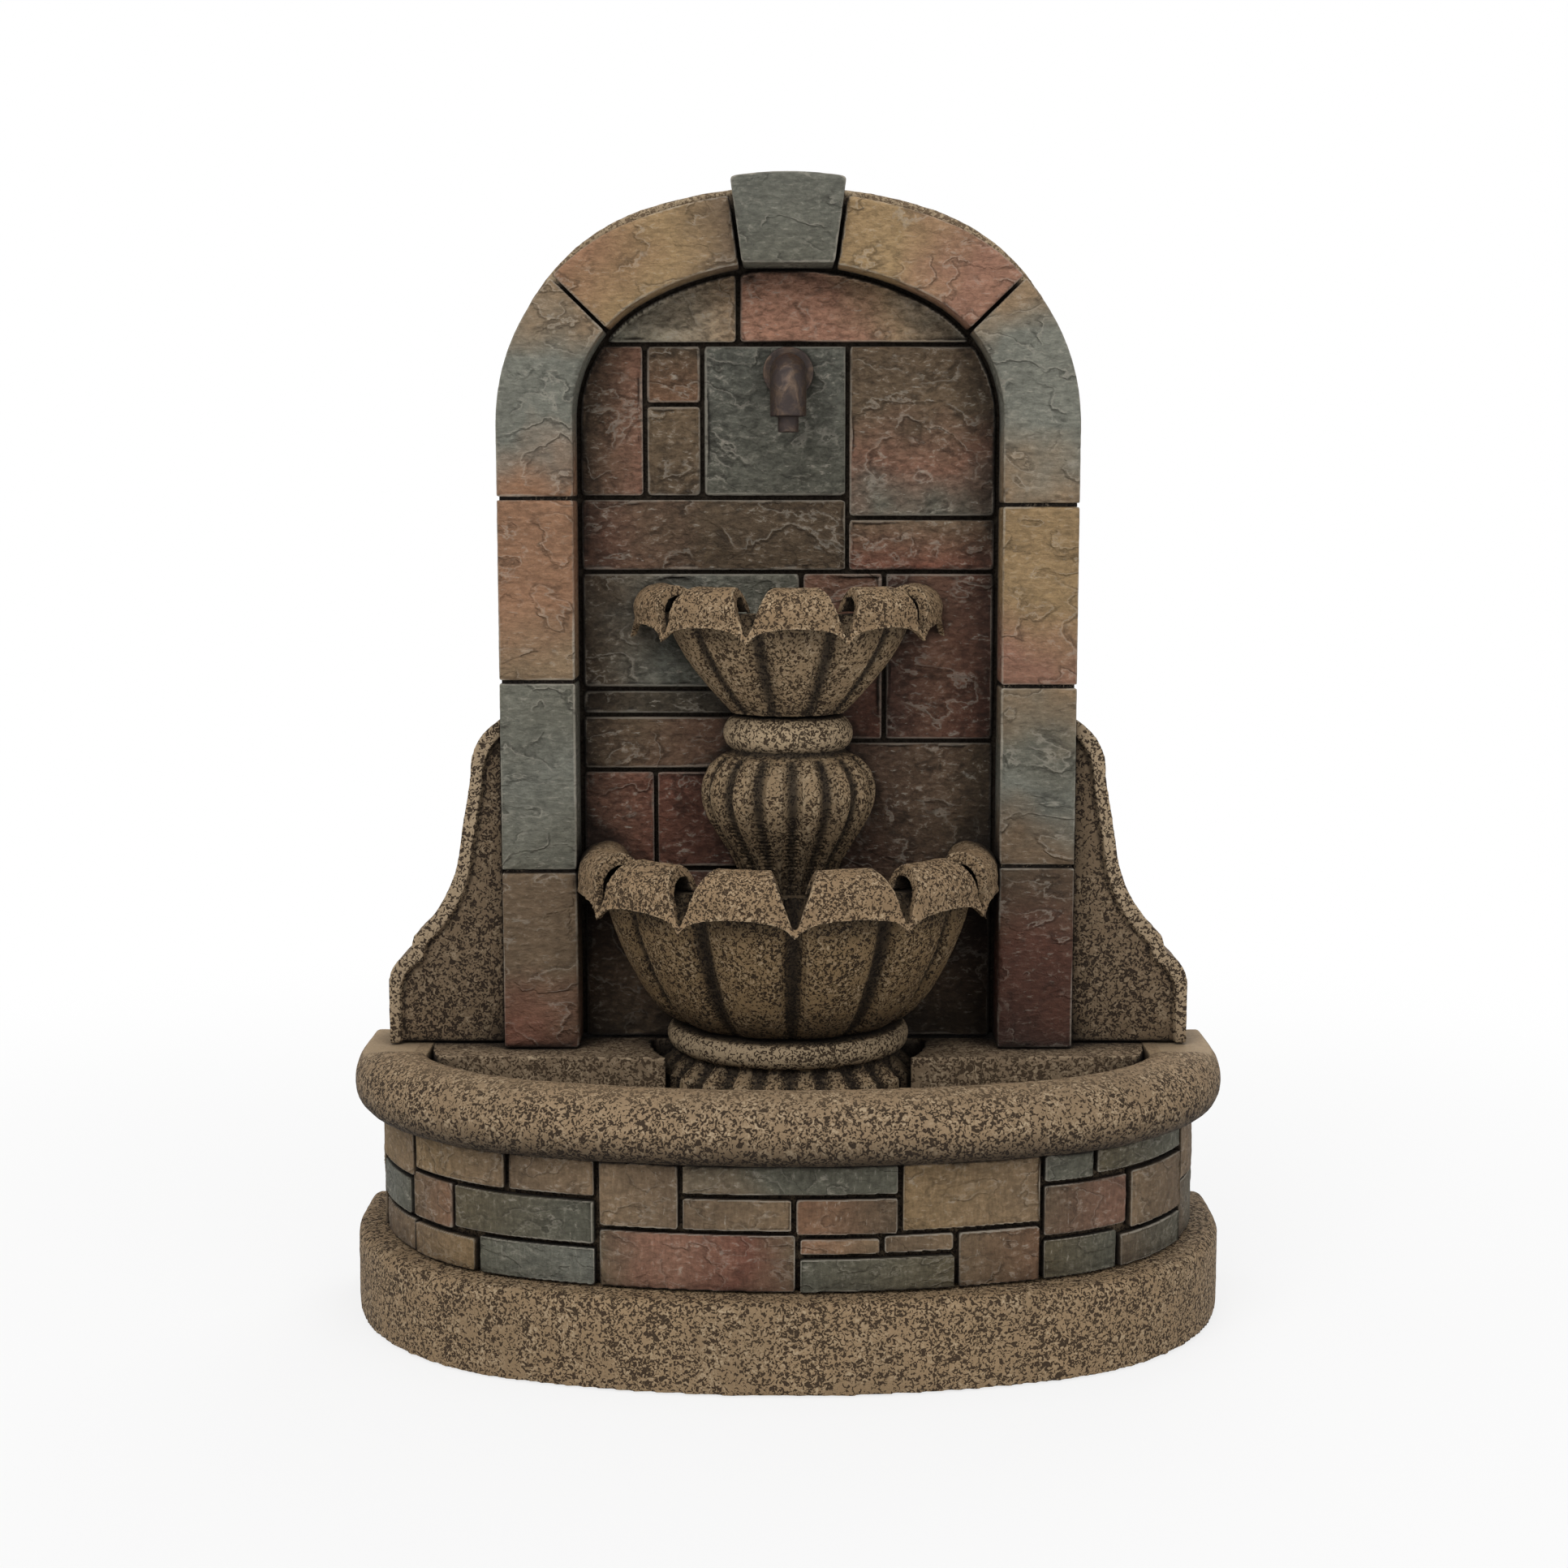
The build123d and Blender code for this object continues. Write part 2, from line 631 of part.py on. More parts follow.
# Joint lines round each stone between the jambs as (left, right, bottom, top, layer), with the
# heights as shares of the panel's height
WALL_STONES = (
    (-ARCH_INNER_W, -26.5, 0.902, 1.0, 1), (-26.5, ARCH_INNER_W, 0.902, 1.0, 0),
    (-ARCH_INNER_W, -76, 0.708, 0.902, 1), (-76, -45.5, 0.826, 0.902, 0), (-76, -45.5, 0.708, 0.826, 1),
    (-45.5, 31.5, 0.708, 0.902, 0), (31.5, ARCH_INNER_W, 0.682, 0.902, 0),
    (31.5, ARCH_INNER_W, 0.613, 0.682, 1), (-ARCH_INNER_W, 31.5, 0.613, 0.708, 1),
    (-ARCH_INNER_W, 7, 0.462, 0.613, 0), (-ARCH_INNER_W, 7, 0.428, 0.462, 1),
    (7, 51.5, 0.394, 0.613, 1), (51.5, ARCH_INNER_W, 0.394, 0.613, 0),
    (-ARCH_INNER_W, 7, 0.356, 0.428, 0), (-ARCH_INNER_W, -71.5, 0.226, 0.356, 1),
    (-71.5, 7, 0.226, 0.356, 0), (7, ARCH_INNER_W, 0.192, 0.394, 1),
    (-ARCH_INNER_W, 7, 0.0, 0.226, 1), (7, ARCH_INNER_W, 0.0, 0.192, 0),
)


def make_wall_stones():
    """Stones of the wall panel, cut to the arch, at two depths."""
    inner = arch_face(ARCH_INNER_W - WALL_MARGIN, INNER_CROWN_Z - WALL_MARGIN,
                      INNER_CROWN_R - WALL_MARGIN, INNER_SHOULDER_R - WALL_MARGIN, LEDGE_Z)
    hose_room = block(-CHASE_W / 2, CHASE_W / 2, -BIG, BIG, 0, HATCH_Z + HATCH_LIP)
    pipe_room = rod(PIPE_OD / 2 + SLIP, (0, 0, SPOUT_Z), BIG, "Y")
    stones = []
    for left, right, low, high, layer in WALL_STONES:
        width = right - left - WALL_JOINT
        height = PANEL_H * (high - low) - WALL_JOINT
        face = Pos((left + right) / 2, LEDGE_Z + PANEL_H * (low + high) / 2) * Rectangle(width, height)
        stone = front_prism(inner & face, WALL_FACE_Y + layer * WALL_STONE_STEP, SLAB_Y)
        stone = soften_front(stone, WALL_EDGE)
        stones.extend((stone - hose_room - pipe_room).solids())
    return Compound(children=stones)


# Wings


def wing_face():
    """Right wing seen from the front: square foot, stepped shoulder, long hollow curve."""
    inner = ARCH_HALF_W + FIT_GAP
    outer = inner + WING_FOOT_W
    side = (outer, WING_SIDE_Z)
    marks = (WING_SHOULDER, WING_NECK, WING_HOLLOW, WING_HEAD)
    shoulder, neck, hollow, head = ((outer - back, WING_SIDE_Z + up) for back, up in marks)
    top = (inner, WING_TOP_Z)
    return face_of(
        Line((inner, LEDGE_Z), (outer, LEDGE_Z)),
        Line((outer, LEDGE_Z), side),
        bowed(side, shoulder, SHOULDER_BOW),
        Line(shoulder, neck),
        bowed(neck, hollow, -HOLLOW_BOW),
        Line(hollow, head),
        bowed(head, top, HEAD_BOW),
        Line(top, (inner, LEDGE_Z)),
    )


def make_wing():
    """Right wing with a raised border along its curved edge."""
    outline = wing_face()
    wing = front_prism(outline, WING_Y, BACK_Y)
    field = Pos(-WING_BORDER, -WING_BORDER_TOP) * outline & outline
    wing -= front_prism(field, WING_Y, WING_Y + WING_FIELD_DEPTH)
    return wing.solid()


# Bowls and stems


def polar(radius, angle):
    """Plan point at an angle from straight ahead, in degrees."""
    turn = angle * pi / 180
    return radius * sin(turn), -radius * cos(turn)


def lobed_face(lobes, crown_r, turn, z, depth):
    """Scalloped plan: a flat arc for each lobe and a sharp groove for each seam."""
    step = 360 / lobes
    lip = step * SEAM_W / 2
    seam_r = crown_r * (1 - depth)
    edge_r = crown_r * (1 - depth * LOBE_EDGE)
    edges = []
    for lobe in range(lobes):
        start = (turn + lobe) * step
        end = start + step
        left = polar(edge_r, start + lip)
        right = polar(edge_r, end - lip)
        edges.append(Line(polar(seam_r, start), left))
        edges.append(ThreePointArc(left, polar(crown_r, start + step / 2), right))
        edges.append(Line(right, polar(seam_r, end)))
    return Pos(0, BOWL_AXIS_Y, z) * face_of(*edges)


def lobed_loft(lobes, turn, profile, depth):
    """Stack scalloped plans given as (height, crown radius)."""
    return loft([lobed_face(lobes, radius, turn, z, depth) for z, radius in profile])


def on_axis(section):
    """Turn a section given in radius and height about the bowls' axis."""
    return Pos(0, BOWL_AXIS_Y, 0) * revolve(Plane.XZ * section, Axis.Z)


def against_wall(shape):
    """Keep what stands in front of the wall stones and clear of the jambs."""
    shape -= block(-BIG, BIG, WALL_FACE_Y, BIG, -BIG, BIG)
    for side in (-1, 1):
        inner = ARCH_INNER_W - FIT_GAP
        jamb = block(inner, BIG, COLUMN_Y - FIT_GAP, BIG, -BIG, BIG)
        shape -= jamb if side > 0 else mirrored(jamb)
    return shape


def make_bowl(lobes, turn, profile, bottom_z, floor_z, lip_z):
    """Lobed half cup with a smooth round inside."""
    levels = [(bottom_z + rise, radius) for rise, radius in profile]
    cup = lobed_loft(lobes, turn, levels, LOBE_DEPTH)
    seam = 1 - LOBE_DEPTH
    lip_r = levels[-1][1] * seam - LIP_T
    waist_z, waist_r = levels[-2]
    waist_r = waist_r * seam - BOWL_WALL
    foot_r = levels[0][1] * seam - BOWL_WALL
    hollow = face_of(
        Line((0, floor_z), (foot_r, floor_z)),
        bowed((foot_r, floor_z), (waist_r, waist_z), BOWL_BOW),
        Line((waist_r, waist_z), (lip_r, lip_z)),
        Line((lip_r, lip_z), (0, lip_z)),
        Line((0, lip_z), (0, floor_z)),
    )
    return against_wall(cup - on_axis(hollow)).solid()


def leaf_hook(lip_r, lip_z, crest_r, crest_z, flap_r, tip_z):
    """Section of a leaf in radius and height: up from the lip, over the crest and down the flap."""
    knee_z = tip_z + (crest_z - tip_z) * LEAF_KNEE
    inside = (lip_r - LIP_T, lip_z)
    root = (lip_r, lip_z + LEAF_ROOT)
    under_knee = (flap_r - LEAF_FLARE - LEAF_T, knee_z)
    knee = (flap_r - LEAF_FLARE, knee_z)
    crest = (crest_r, crest_z)
    return face_of(
        Line(inside, (lip_r, lip_z)),
        Line((lip_r, lip_z), root),
        bowed(root, under_knee, -LEAF_UNDER_BOW),
        Line(under_knee, (flap_r - LEAF_EDGE_T, tip_z)),
        Line((flap_r - LEAF_EDGE_T, tip_z), (flap_r, tip_z)),
        Line((flap_r, tip_z), knee),
        bowed(knee, crest, LEAF_FOLD_BOW),
        bowed(crest, inside, LEAF_INSIDE_BOW),
    )


def leaf_hem(leaves, flap_r, tip_z):
    """What is cut away under a leaf: a nearly straight hem that curves down to a point at each end."""
    half = flap_r * sin(pi / leaves)
    low = tip_z - LEAF_RISE
    hem_z = tip_z + LEAF_RISE
    hem_half = half * (1 - LEAF_POINT)
    return face_of(
        Line((-half, low), (half, low)),
        Line((half, low), (half, tip_z)),
        bowed((half, tip_z), (hem_half, hem_z), POINT_BOW),
        bowed((hem_half, hem_z), (-hem_half, hem_z), POINT_BOW),
        bowed((-hem_half, hem_z), (-half, tip_z), POINT_BOW),
        Line((-half, tip_z), (-half, low)),
    )


def leaf_notch(crest_z, tip_z, width):
    """The wedge between two leaves, as wide as given at the crest, that ends just above their tips."""
    apex_z = tip_z + NOTCH_RISE
    over_z = 2 * crest_z - apex_z
    return face_of(
        Line((0, apex_z), (width, over_z)),
        Line((width, over_z), (-width, over_z)),
        Line((-width, over_z), (0, apex_z)),
    )


def make_leaves(leaves, turn, lip_r, lip_z, crest_r, crest_z, flap_r, tip_z, notch_w):
    """Rim of leaves that rise from the lip, fold over and hang down to points where they meet.

    The rim runs on unbroken into the wall, so no gap is cut there.
    """
    rim = revolve(Plane.XZ * leaf_hook(lip_r, lip_z, crest_r, crest_z, flap_r, tip_z), Axis.Z)
    reach = flap_r + LEAF_SWEEP
    hem = extrude(Plane.XZ * leaf_hem(leaves, flap_r, tip_z), reach, dir=(0, -1, 0))
    notch = extrude(Plane.XZ * leaf_notch(crest_z, tip_z, notch_w), reach, dir=(0, -1, 0))
    step = 360 / leaves
    for leaf in range(leaves):
        seam = (turn + leaf) * step
        if polar(flap_r, seam)[1] < -notch_w:
            rim -= Rot(0, 0, seam) * notch
        rim -= Rot(0, 0, seam + step / 2) * hem
    return against_wall(Pos(0, BOWL_AXIS_Y, 0) * rim)


def ring_section(outer_r, low, high):
    """Disc with a half-round edge, as radius and height."""
    bead = (high - low) / 2
    return face_of(
        Line((0, low), (outer_r - bead, low)),
        ThreePointArc((outer_r - bead, low), (outer_r, low + bead), (outer_r - bead, high)),
        Line((outer_r - bead, high), (0, high)),
        Line((0, high), (0, low)),
    )


def make_lower_stem():
    """Flared foot with a row of small petals, under a round ring."""
    flare_z = RING_Z - FOOT_FLARE_H
    petals = ((TUB_FLOOR_Z, FOOT_R), (flare_z, FOOT_FLARE_R))
    neck = ((flare_z, FOOT_FLARE_R), (RING_Z, FOOT_NECK_R))
    foot = lobed_loft(FOOT_LOBES, LOWER_TURN, petals, FOOT_DEPTH)
    foot += lobed_loft(FOOT_LOBES, LOWER_TURN, neck, FOOT_DEPTH)
    return against_wall(foot + on_axis(ring_section(RING_R, RING_Z, LOWER_BOTTOM_Z))).solid()


def make_upper_stem():
    """Lobed bulb on a plain shaft, with a round collar under the upper bowl."""
    bulb_foot = BULB_PROFILE[0][0]
    bulb_top = BULB_PROFILE[-1][0]
    bulb = lobed_loft(STEM_LOBES, STEM_TURN, BULB_PROFILE, LOBE_DEPTH)
    shaft = rod(STEM_R, (0, BOWL_AXIS_Y, LOWER_FLOOR_Z), bulb_foot - LOWER_FLOOR_Z, "Z")
    collar = on_axis(ring_section(COLLAR_R, bulb_top, UPPER_BOTTOM_Z))
    return against_wall(bulb + shaft + collar).solid()


# Spout and hose


def make_elbow():
    """Copper elbow: a short leg out of the wall, a bend, and a short leg down."""
    wall_y = WALL_FACE_Y - FLANGE_T
    bend_y = wall_y - ELBOW_STUB
    drop_y = bend_y - ELBOW_BEND_R
    path = Wire([
        Line((0, wall_y, SPOUT_Z), (0, bend_y, SPOUT_Z)),
        ThreePointArc((0, bend_y, SPOUT_Z),
                      (0, bend_y - ELBOW_BEND_R * sin(pi / 4), SPOUT_Z - ELBOW_BEND_R * (1 - cos(pi / 4))),
                      (0, drop_y, SPOUT_Z - ELBOW_BEND_R)),
        Line((0, drop_y, SPOUT_Z - ELBOW_BEND_R), (0, drop_y, MOUTH_Z)),
    ])
    start = Plane((0, wall_y, SPOUT_Z), z_dir=(0, -1, 0))
    ring = Circle(ELBOW_OD / 2) - Circle(PIPE_OD / 2 + SLIP)
    return sweep(start * ring, path).solid()


def nozzle_y():
    """Depth of the elbow's downward leg."""
    return WALL_FACE_Y - FLANGE_T - ELBOW_STUB - ELBOW_BEND_R


def make_nozzle():
    """Stepped brass nozzle pushed up into the elbow's mouth."""
    y = nozzle_y()
    plug_top = SPOUT_Z - ELBOW_BEND_R
    body = rod(PIPE_OD / 2, (0, y, MOUTH_Z), plug_top - MOUTH_Z, "Z")
    body += rod(NOZZLE_OD / 2, (0, y, NOZZLE_Z), MOUTH_Z - NOZZLE_Z, "Z")
    return body - rod(NOZZLE_BORE / 2, (0, y, NOZZLE_Z), BIG, "Z")


def make_flange():
    """Round wall plate behind the elbow."""
    return tube(FLANGE_OD / 2, PIPE_OD / 2 + SLIP, (0, WALL_FACE_Y - FLANGE_T, SPOUT_Z), FLANGE_T, "Y")


def make_pipe():
    """Copper tube from the elbow through the wall into the chase."""
    front = WALL_FACE_Y - FLANGE_T - ELBOW_STUB
    return tube(PIPE_OD / 2, PIPE_BORE / 2, (0, front, SPOUT_Z), PIPE_END_Y - front, "Y")


def make_nut():
    """Thin hexagon nut that clamps the tube in the wall."""
    hexagon = Plane.XZ * RegularPolygon(NUT_W / 2, 6, major_radius=False)
    nut = Pos(0, CHASE_Y, SPOUT_Z) * extrude(hexagon, NUT_T, dir=(0, 1, 0))
    return nut - rod(PIPE_OD / 2 + SLIP, (0, CHASE_Y, SPOUT_Z), NUT_T, "Y")


def make_hose_elbow():
    """Plastic elbow behind the tube, with a barb that points down into the hose."""
    back = BACK_Y - CHASE_SKIN - FIT_GAP
    head = rod(PIPE_OD / 2, (0, PIPE_END_Y, SPOUT_Z), back - PIPE_END_Y, "Y")
    foot = (0, HOSE_CHASE_Y, HOSE_TOP_Z - BARB_L)
    barb = rod(BARB_R, foot, SPOUT_Z - foot[2], "Z")
    bore = rod(BARB_BORE_R, foot, SPOUT_Z - foot[2], "Z")
    inlet = rod(BARB_BORE_R, (0, PIPE_END_Y, SPOUT_Z), HOSE_CHASE_Y - PIPE_END_Y, "Y")
    return (head + barb - bore - inlet).solid()


def make_hose():
    """Hose from the pump, behind the bowl foot, up through the ledge and the chase."""
    lean_top = HOSE_LEAN_Z + HOSE_LEAN * (HOSE_CHASE_Y - HOSE_TUB_Y)
    path = FilletPolyline(
        (HOSE_START_X, HOSE_TUB_Y, HOSE_TUB_Z), (0, HOSE_TUB_Y, HOSE_TUB_Z), (0, HOSE_TUB_Y, HOSE_LEAN_Z),
        (0, HOSE_CHASE_Y, lean_top), (0, HOSE_CHASE_Y, HOSE_TOP_Z),
        radius=[HOSE_BEND_R, HOSE_SWING_R, HOSE_SWING_R],
    )
    ring = Circle(HOSE_OD / 2) - Circle(HOSE_BORE / 2)
    start = Plane((HOSE_START_X, HOSE_TUB_Y, HOSE_TUB_Z), z_dir=(-1, 0, 0))
    return sweep(start * ring, path).solid()


def make_clamps():
    """Two band clamps that hold the hose on its barbs."""
    inner = HOSE_OD / 2 + SLIP
    outer = inner + CLAMP_T
    reach = CLAMP_W + CLAMP_SET
    pump_clamp = tube(outer, inner, (HOSE_START_X - reach, HOSE_TUB_Y, HOSE_TUB_Z), CLAMP_W, "X")
    top_clamp = tube(outer, inner, (0, HOSE_CHASE_Y, HOSE_TOP_Z - reach), CLAMP_W, "Z")
    return Compound(children=[pump_clamp.solid(), top_clamp.solid()])


def make_hatch():
    """Flush back cover with a locating rib and a finger scoop."""
    chase_back = BACK_Y - CHASE_SKIN
    half = HATCH_W / 2 - FIT_GAP
    low = HATCH_Z + FIT_GAP
    high = HATCH_Z + HATCH_H - FIT_GAP
    plate = block(-half, half, chase_back, BACK_Y, low, high)
    rib_half = HATCH_W / 2 - HATCH_LIP - FIT_GAP
    rib_low = HATCH_Z + HATCH_LIP + FIT_GAP
    rib_high = HATCH_Z + HATCH_H - HATCH_LIP - FIT_GAP
    rib_y = chase_back - HATCH_RIB_DEPTH
    rib = block(-rib_half, rib_half, rib_y, chase_back, rib_low, rib_high)
    inner = rib_half - HATCH_RIB
    rib -= block(-inner, inner, rib_y, chase_back, rib_low + HATCH_RIB, rib_high - HATCH_RIB)
    hose_gap = HOSE_OD / 2 + HOSE_CLEAR
    rib -= block(-hose_gap, hose_gap, rib_y, chase_back, 0, BIG)
    scoop = rod(SCOOP_R, (-SCOOP_W / 2, BACK_Y + SCOOP_OUT, high - SCOOP_DROP), SCOOP_W, "X")
    return (plate + rib - scoop).solid()


# Pump


def pump_block(y0, y1, edge):
    """Pump-sized block with round upright edges."""
    half = PUMP_W / 2
    body = block(PUMP_X - half, PUMP_X + half, y0, y1, PUMP_Z, PUMP_Z + PUMP_H)
    return fillet(body.edges().filter_by(Axis.Y), edge)


def make_pump_body():
    """Motor housing with the impeller chamber, rotor pocket, shaft seat, outlet and cable gland."""
    back = PUMP_BODY_Y + PUMP_BODY_T
    body = pump_block(PUMP_BODY_Y, back, PUMP_EDGE_R)
    body -= rod(CHAMBER_R, (PUMP_X, PUMP_BODY_Y, SHAFT_Z), CHAMBER_T, "Y")
    pocket_l = ROTOR_POCKET_Y - PUMP_BODY_Y
    body -= rod(ROTOR_R + ROTOR_PLAY, (PUMP_X, PUMP_BODY_Y, SHAFT_Z), pocket_l, "Y")
    body -= rod(BUSH_R, (PUMP_X, ROTOR_POCKET_Y, SHAFT_Z), BUSH_T, "Y")
    barb = (PUMP_X - PUMP_W / 2 - BARB_L, HOSE_TUB_Y, HOSE_TUB_Z)
    body += rod(BARB_R, barb, BARB_L, "X")
    body -= rod(BARB_BORE_R, barb, BARB_L + OUTLET_DEPTH, "X")
    gland = (PUMP_X + GLAND_X, PUMP_BODY_Y + GLAND_Y, PUMP_Z + PUMP_H)
    return (body + tube(GLAND_R, GROMMET_BORE_R, gland, GLAND_H, "Z")).solid()


def make_rear_bush():
    """Rubber bush that holds the shaft's back end in the motor housing."""
    return tube(BUSH_R - SLIP, SHAFT_R, (PUMP_X, ROTOR_POCKET_Y, SHAFT_Z), BUSH_T, "Y")


def make_front_bush():
    """Rubber bush in the intake cover, a slip fit on the shaft's front end."""
    return tube(BUSH_R - SLIP, SHAFT_R + SLIP, (PUMP_X, COVER_Y + PUMP_WALL, SHAFT_Z), BUSH_T, "Y")


def make_shaft():
    """Ceramic pin on which the rotor turns."""
    front = COVER_Y + PUMP_WALL + SHAFT_PLAY
    back = ROTOR_POCKET_Y + BUSH_T
    return rod(SHAFT_R, (PUMP_X, front, SHAFT_Z), back - front, "Y")


def make_impeller():
    """Hub with straight blades and a sleeve that carries the magnet."""
    front = PUMP_BODY_Y + CHAMBER_T - BLADE_H - ROTOR_END_PLAY
    sleeve_end = PUMP_BODY_Y + CHAMBER_T + ROTOR_T
    sleeve = rod(ROTOR_R / 2, (PUMP_X, front, SHAFT_Z), sleeve_end - front, "Y")
    wheel = sleeve + rod(HUB_R, (PUMP_X, front + BLADE_H - HUB_T, SHAFT_Z), HUB_T, "Y")
    blade = block(0, BLADE_R, front, front + BLADE_H, -BLADE_T / 2, BLADE_T / 2)
    for number in range(BLADES):
        wheel += Pos(PUMP_X, 0, SHAFT_Z) * Rot(0, number * 360 / BLADES, 0) * blade
    bore = rod(SHAFT_R + SLIP, (PUMP_X, front, SHAFT_Z), BIG, "Y")
    return (wheel - bore).solid()


def make_magnet():
    """Ring magnet pressed on the impeller's sleeve."""
    y = PUMP_BODY_Y + CHAMBER_T + MAGNET_SET
    return tube(ROTOR_R, ROTOR_R / 2, (PUMP_X, y, SHAFT_Z), ROTOR_T - MAGNET_SET, "Y")


def make_pump_cover():
    """Intake cover: a shallow box with slots, a seat for the front bush and the dial's hole."""
    cover = pump_block(COVER_Y, PUMP_BODY_Y, PUMP_EDGE_R)
    half = PUMP_W / 2 - PUMP_WALL
    cover -= block(PUMP_X - half, PUMP_X + half, COVER_Y + PUMP_WALL, PUMP_BODY_Y,
                   PUMP_Z + PUMP_WALL, PUMP_Z + PUMP_H - PUMP_WALL)
    cover += tube(BUSH_R + BUSH_SEAT, BUSH_R, (PUMP_X, COVER_Y + PUMP_WALL, SHAFT_Z), BUSH_T, "Y")
    half = SLOT_W / 2
    for number in range(SLOTS):
        for side in (-1, 1):
            x = PUMP_X + side * (SLOT_START + number * SLOT_PITCH)
            cover -= block(x - half, x + half, COVER_Y, COVER_Y + PUMP_WALL, PUMP_Z + SLOT_LOW,
                           PUMP_Z + PUMP_H - SLOT_HIGH)
    return (cover - rod(DIAL_PIN_R + SLIP, (PUMP_X, COVER_Y, DIAL_Z), PUMP_WALL, "Y")).solid()


def make_dial():
    """Flow dial with a finger ridge and a pin through the cover."""
    front = COVER_Y - DIAL_T - FIT_GAP
    dial = rod(DIAL_R, (PUMP_X, front, DIAL_Z), DIAL_T, "Y")
    dial += rod(DIAL_PIN_R, (PUMP_X, front, DIAL_Z), DIAL_T + FIT_GAP + PUMP_WALL, "Y")
    half = DIAL_RIDGE / 2
    long = DIAL_R - half
    dial += block(PUMP_X - half, PUMP_X + half, front - DIAL_RIDGE, front, DIAL_Z - long, DIAL_Z + long)
    return dial.solid()


def make_suckers():
    """Four suction feet that hold the pump on the tub floor."""
    cups = []
    end = SUCKER_R + SUCKER_END
    for sx in (-1, 1):
        for y in (PUMP_BODY_Y + end, PUMP_BODY_Y + PUMP_BODY_T - end):
            x = PUMP_X + sx * (PUMP_W / 2 - SUCKER_R - SUCKER_IN)
            cup = Pos(x, y, TUB_FLOOR_Z + SUCKER_H / 2) * Cone(SUCKER_R, SUCKER_R / 2, SUCKER_H)
            cups.append(cup.solid())
    return Compound(children=cups)


def make_grommet():
    """Rubber ring that lines the cable hole in the tub's back wall."""
    front = BACK_Y - TUB_WALL
    ring = rod(GROMMET_R - SLIP, (GROMMET_X, front, GROMMET_Z), TUB_WALL, "Y")
    ring += rod(GROMMET_R + GROMMET_LIP, (GROMMET_X, front - GROMMET_LIP, GROMMET_Z), GROMMET_LIP, "Y")
    return (ring - rod(GROMMET_BORE_R, (GROMMET_X, 0, GROMMET_Z), BIG, "Y")).solid()


# Write every node
os.makedirs("parts", exist_ok=True)
save("plinth", make_plinth().solid())
save("basin_tub", make_tub().solid())
save("basin_coping", make_coping().solid())
save("basin_facing_stones", make_facing())
save("ledge", make_ledge().solid())
save("back_slab", make_slab().solid())
save("wall_stones", make_wall_stones())
save("keystone", make_keystone())
for name, stone in make_arch_stones().items():
    save(name, stone)
save("wing_right", make_wing())
save("wing_left", mirrored(make_wing()).solid())
save("lower_stem", make_lower_stem())
save("lower_bowl", make_bowl(LOWER_LEAVES, LOWER_TURN, LOWER_PROFILE, LOWER_BOTTOM_Z,
                             LOWER_FLOOR_Z, LOWER_LIP_Z))
save("lower_bowl_leaves", make_leaves(LOWER_LEAVES, LOWER_TURN, LOWER_PROFILE[-1][1] * (1 - LOBE_DEPTH),
                                      LOWER_LIP_Z, LOWER_CREST_R, LOWER_CREST_Z, LOWER_FLAP_R,
                                      LOWER_TIP_Z, LOWER_NOTCH_W))
save("upper_stem", make_upper_stem())
save("upper_bowl", make_bowl(UPPER_LEAVES, UPPER_TURN, UPPER_PROFILE, UPPER_BOTTOM_Z,
                             UPPER_FLOOR_Z, UPPER_LIP_Z))
save("upper_bowl_leaves", make_leaves(UPPER_LEAVES, UPPER_TURN, UPPER_PROFILE[-1][1] * (1 - LOBE_DEPTH),
                                      UPPER_LIP_Z, UPPER_CREST_R, UPPER_CREST_Z, UPPER_FLAP_R,
                                      UPPER_TIP_Z, UPPER_NOTCH_W))
save("spout_elbow", make_elbow())
save("spout_nozzle", make_nozzle().solid())
save("spout_flange", make_flange().solid())
save("spout_pipe", make_pipe().solid())
save("spout_nut", make_nut().solid())
save("hose_elbow", make_hose_elbow())
save("supply_hose", make_hose())
save("hose_clamps", make_clamps())
save("rear_hatch", make_hatch())
save("pump_body", make_pump_body())
save("rear_shaft_bush", make_rear_bush().solid())
save("front_shaft_bush", make_front_bush().solid())
save("impeller_shaft", make_shaft().solid())
save("impeller", make_impeller())
save("rotor_magnet", make_magnet().solid())
save("pump_cover", make_pump_cover())
save("flow_dial", make_dial())
save("suction_feet", make_suckers())
save("cable_grommet", make_grommet())
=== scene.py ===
# %% [markdown]
# # A leafed wall fountain in weathered stone
# The imported CAD part is the fixed frame: every solid already has its true place and size.
# Blender adds what a caster's workshop adds to such a piece, the pitted casting skin, the cleft
# slate, the brown wash and the aged copper, paints shade into hollows, seams and under overhangs, and
# never moves a CAD node.

# %% Load the frame
import json
from math import pi, radians

import bpy
import numpy as np
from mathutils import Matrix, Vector, noise

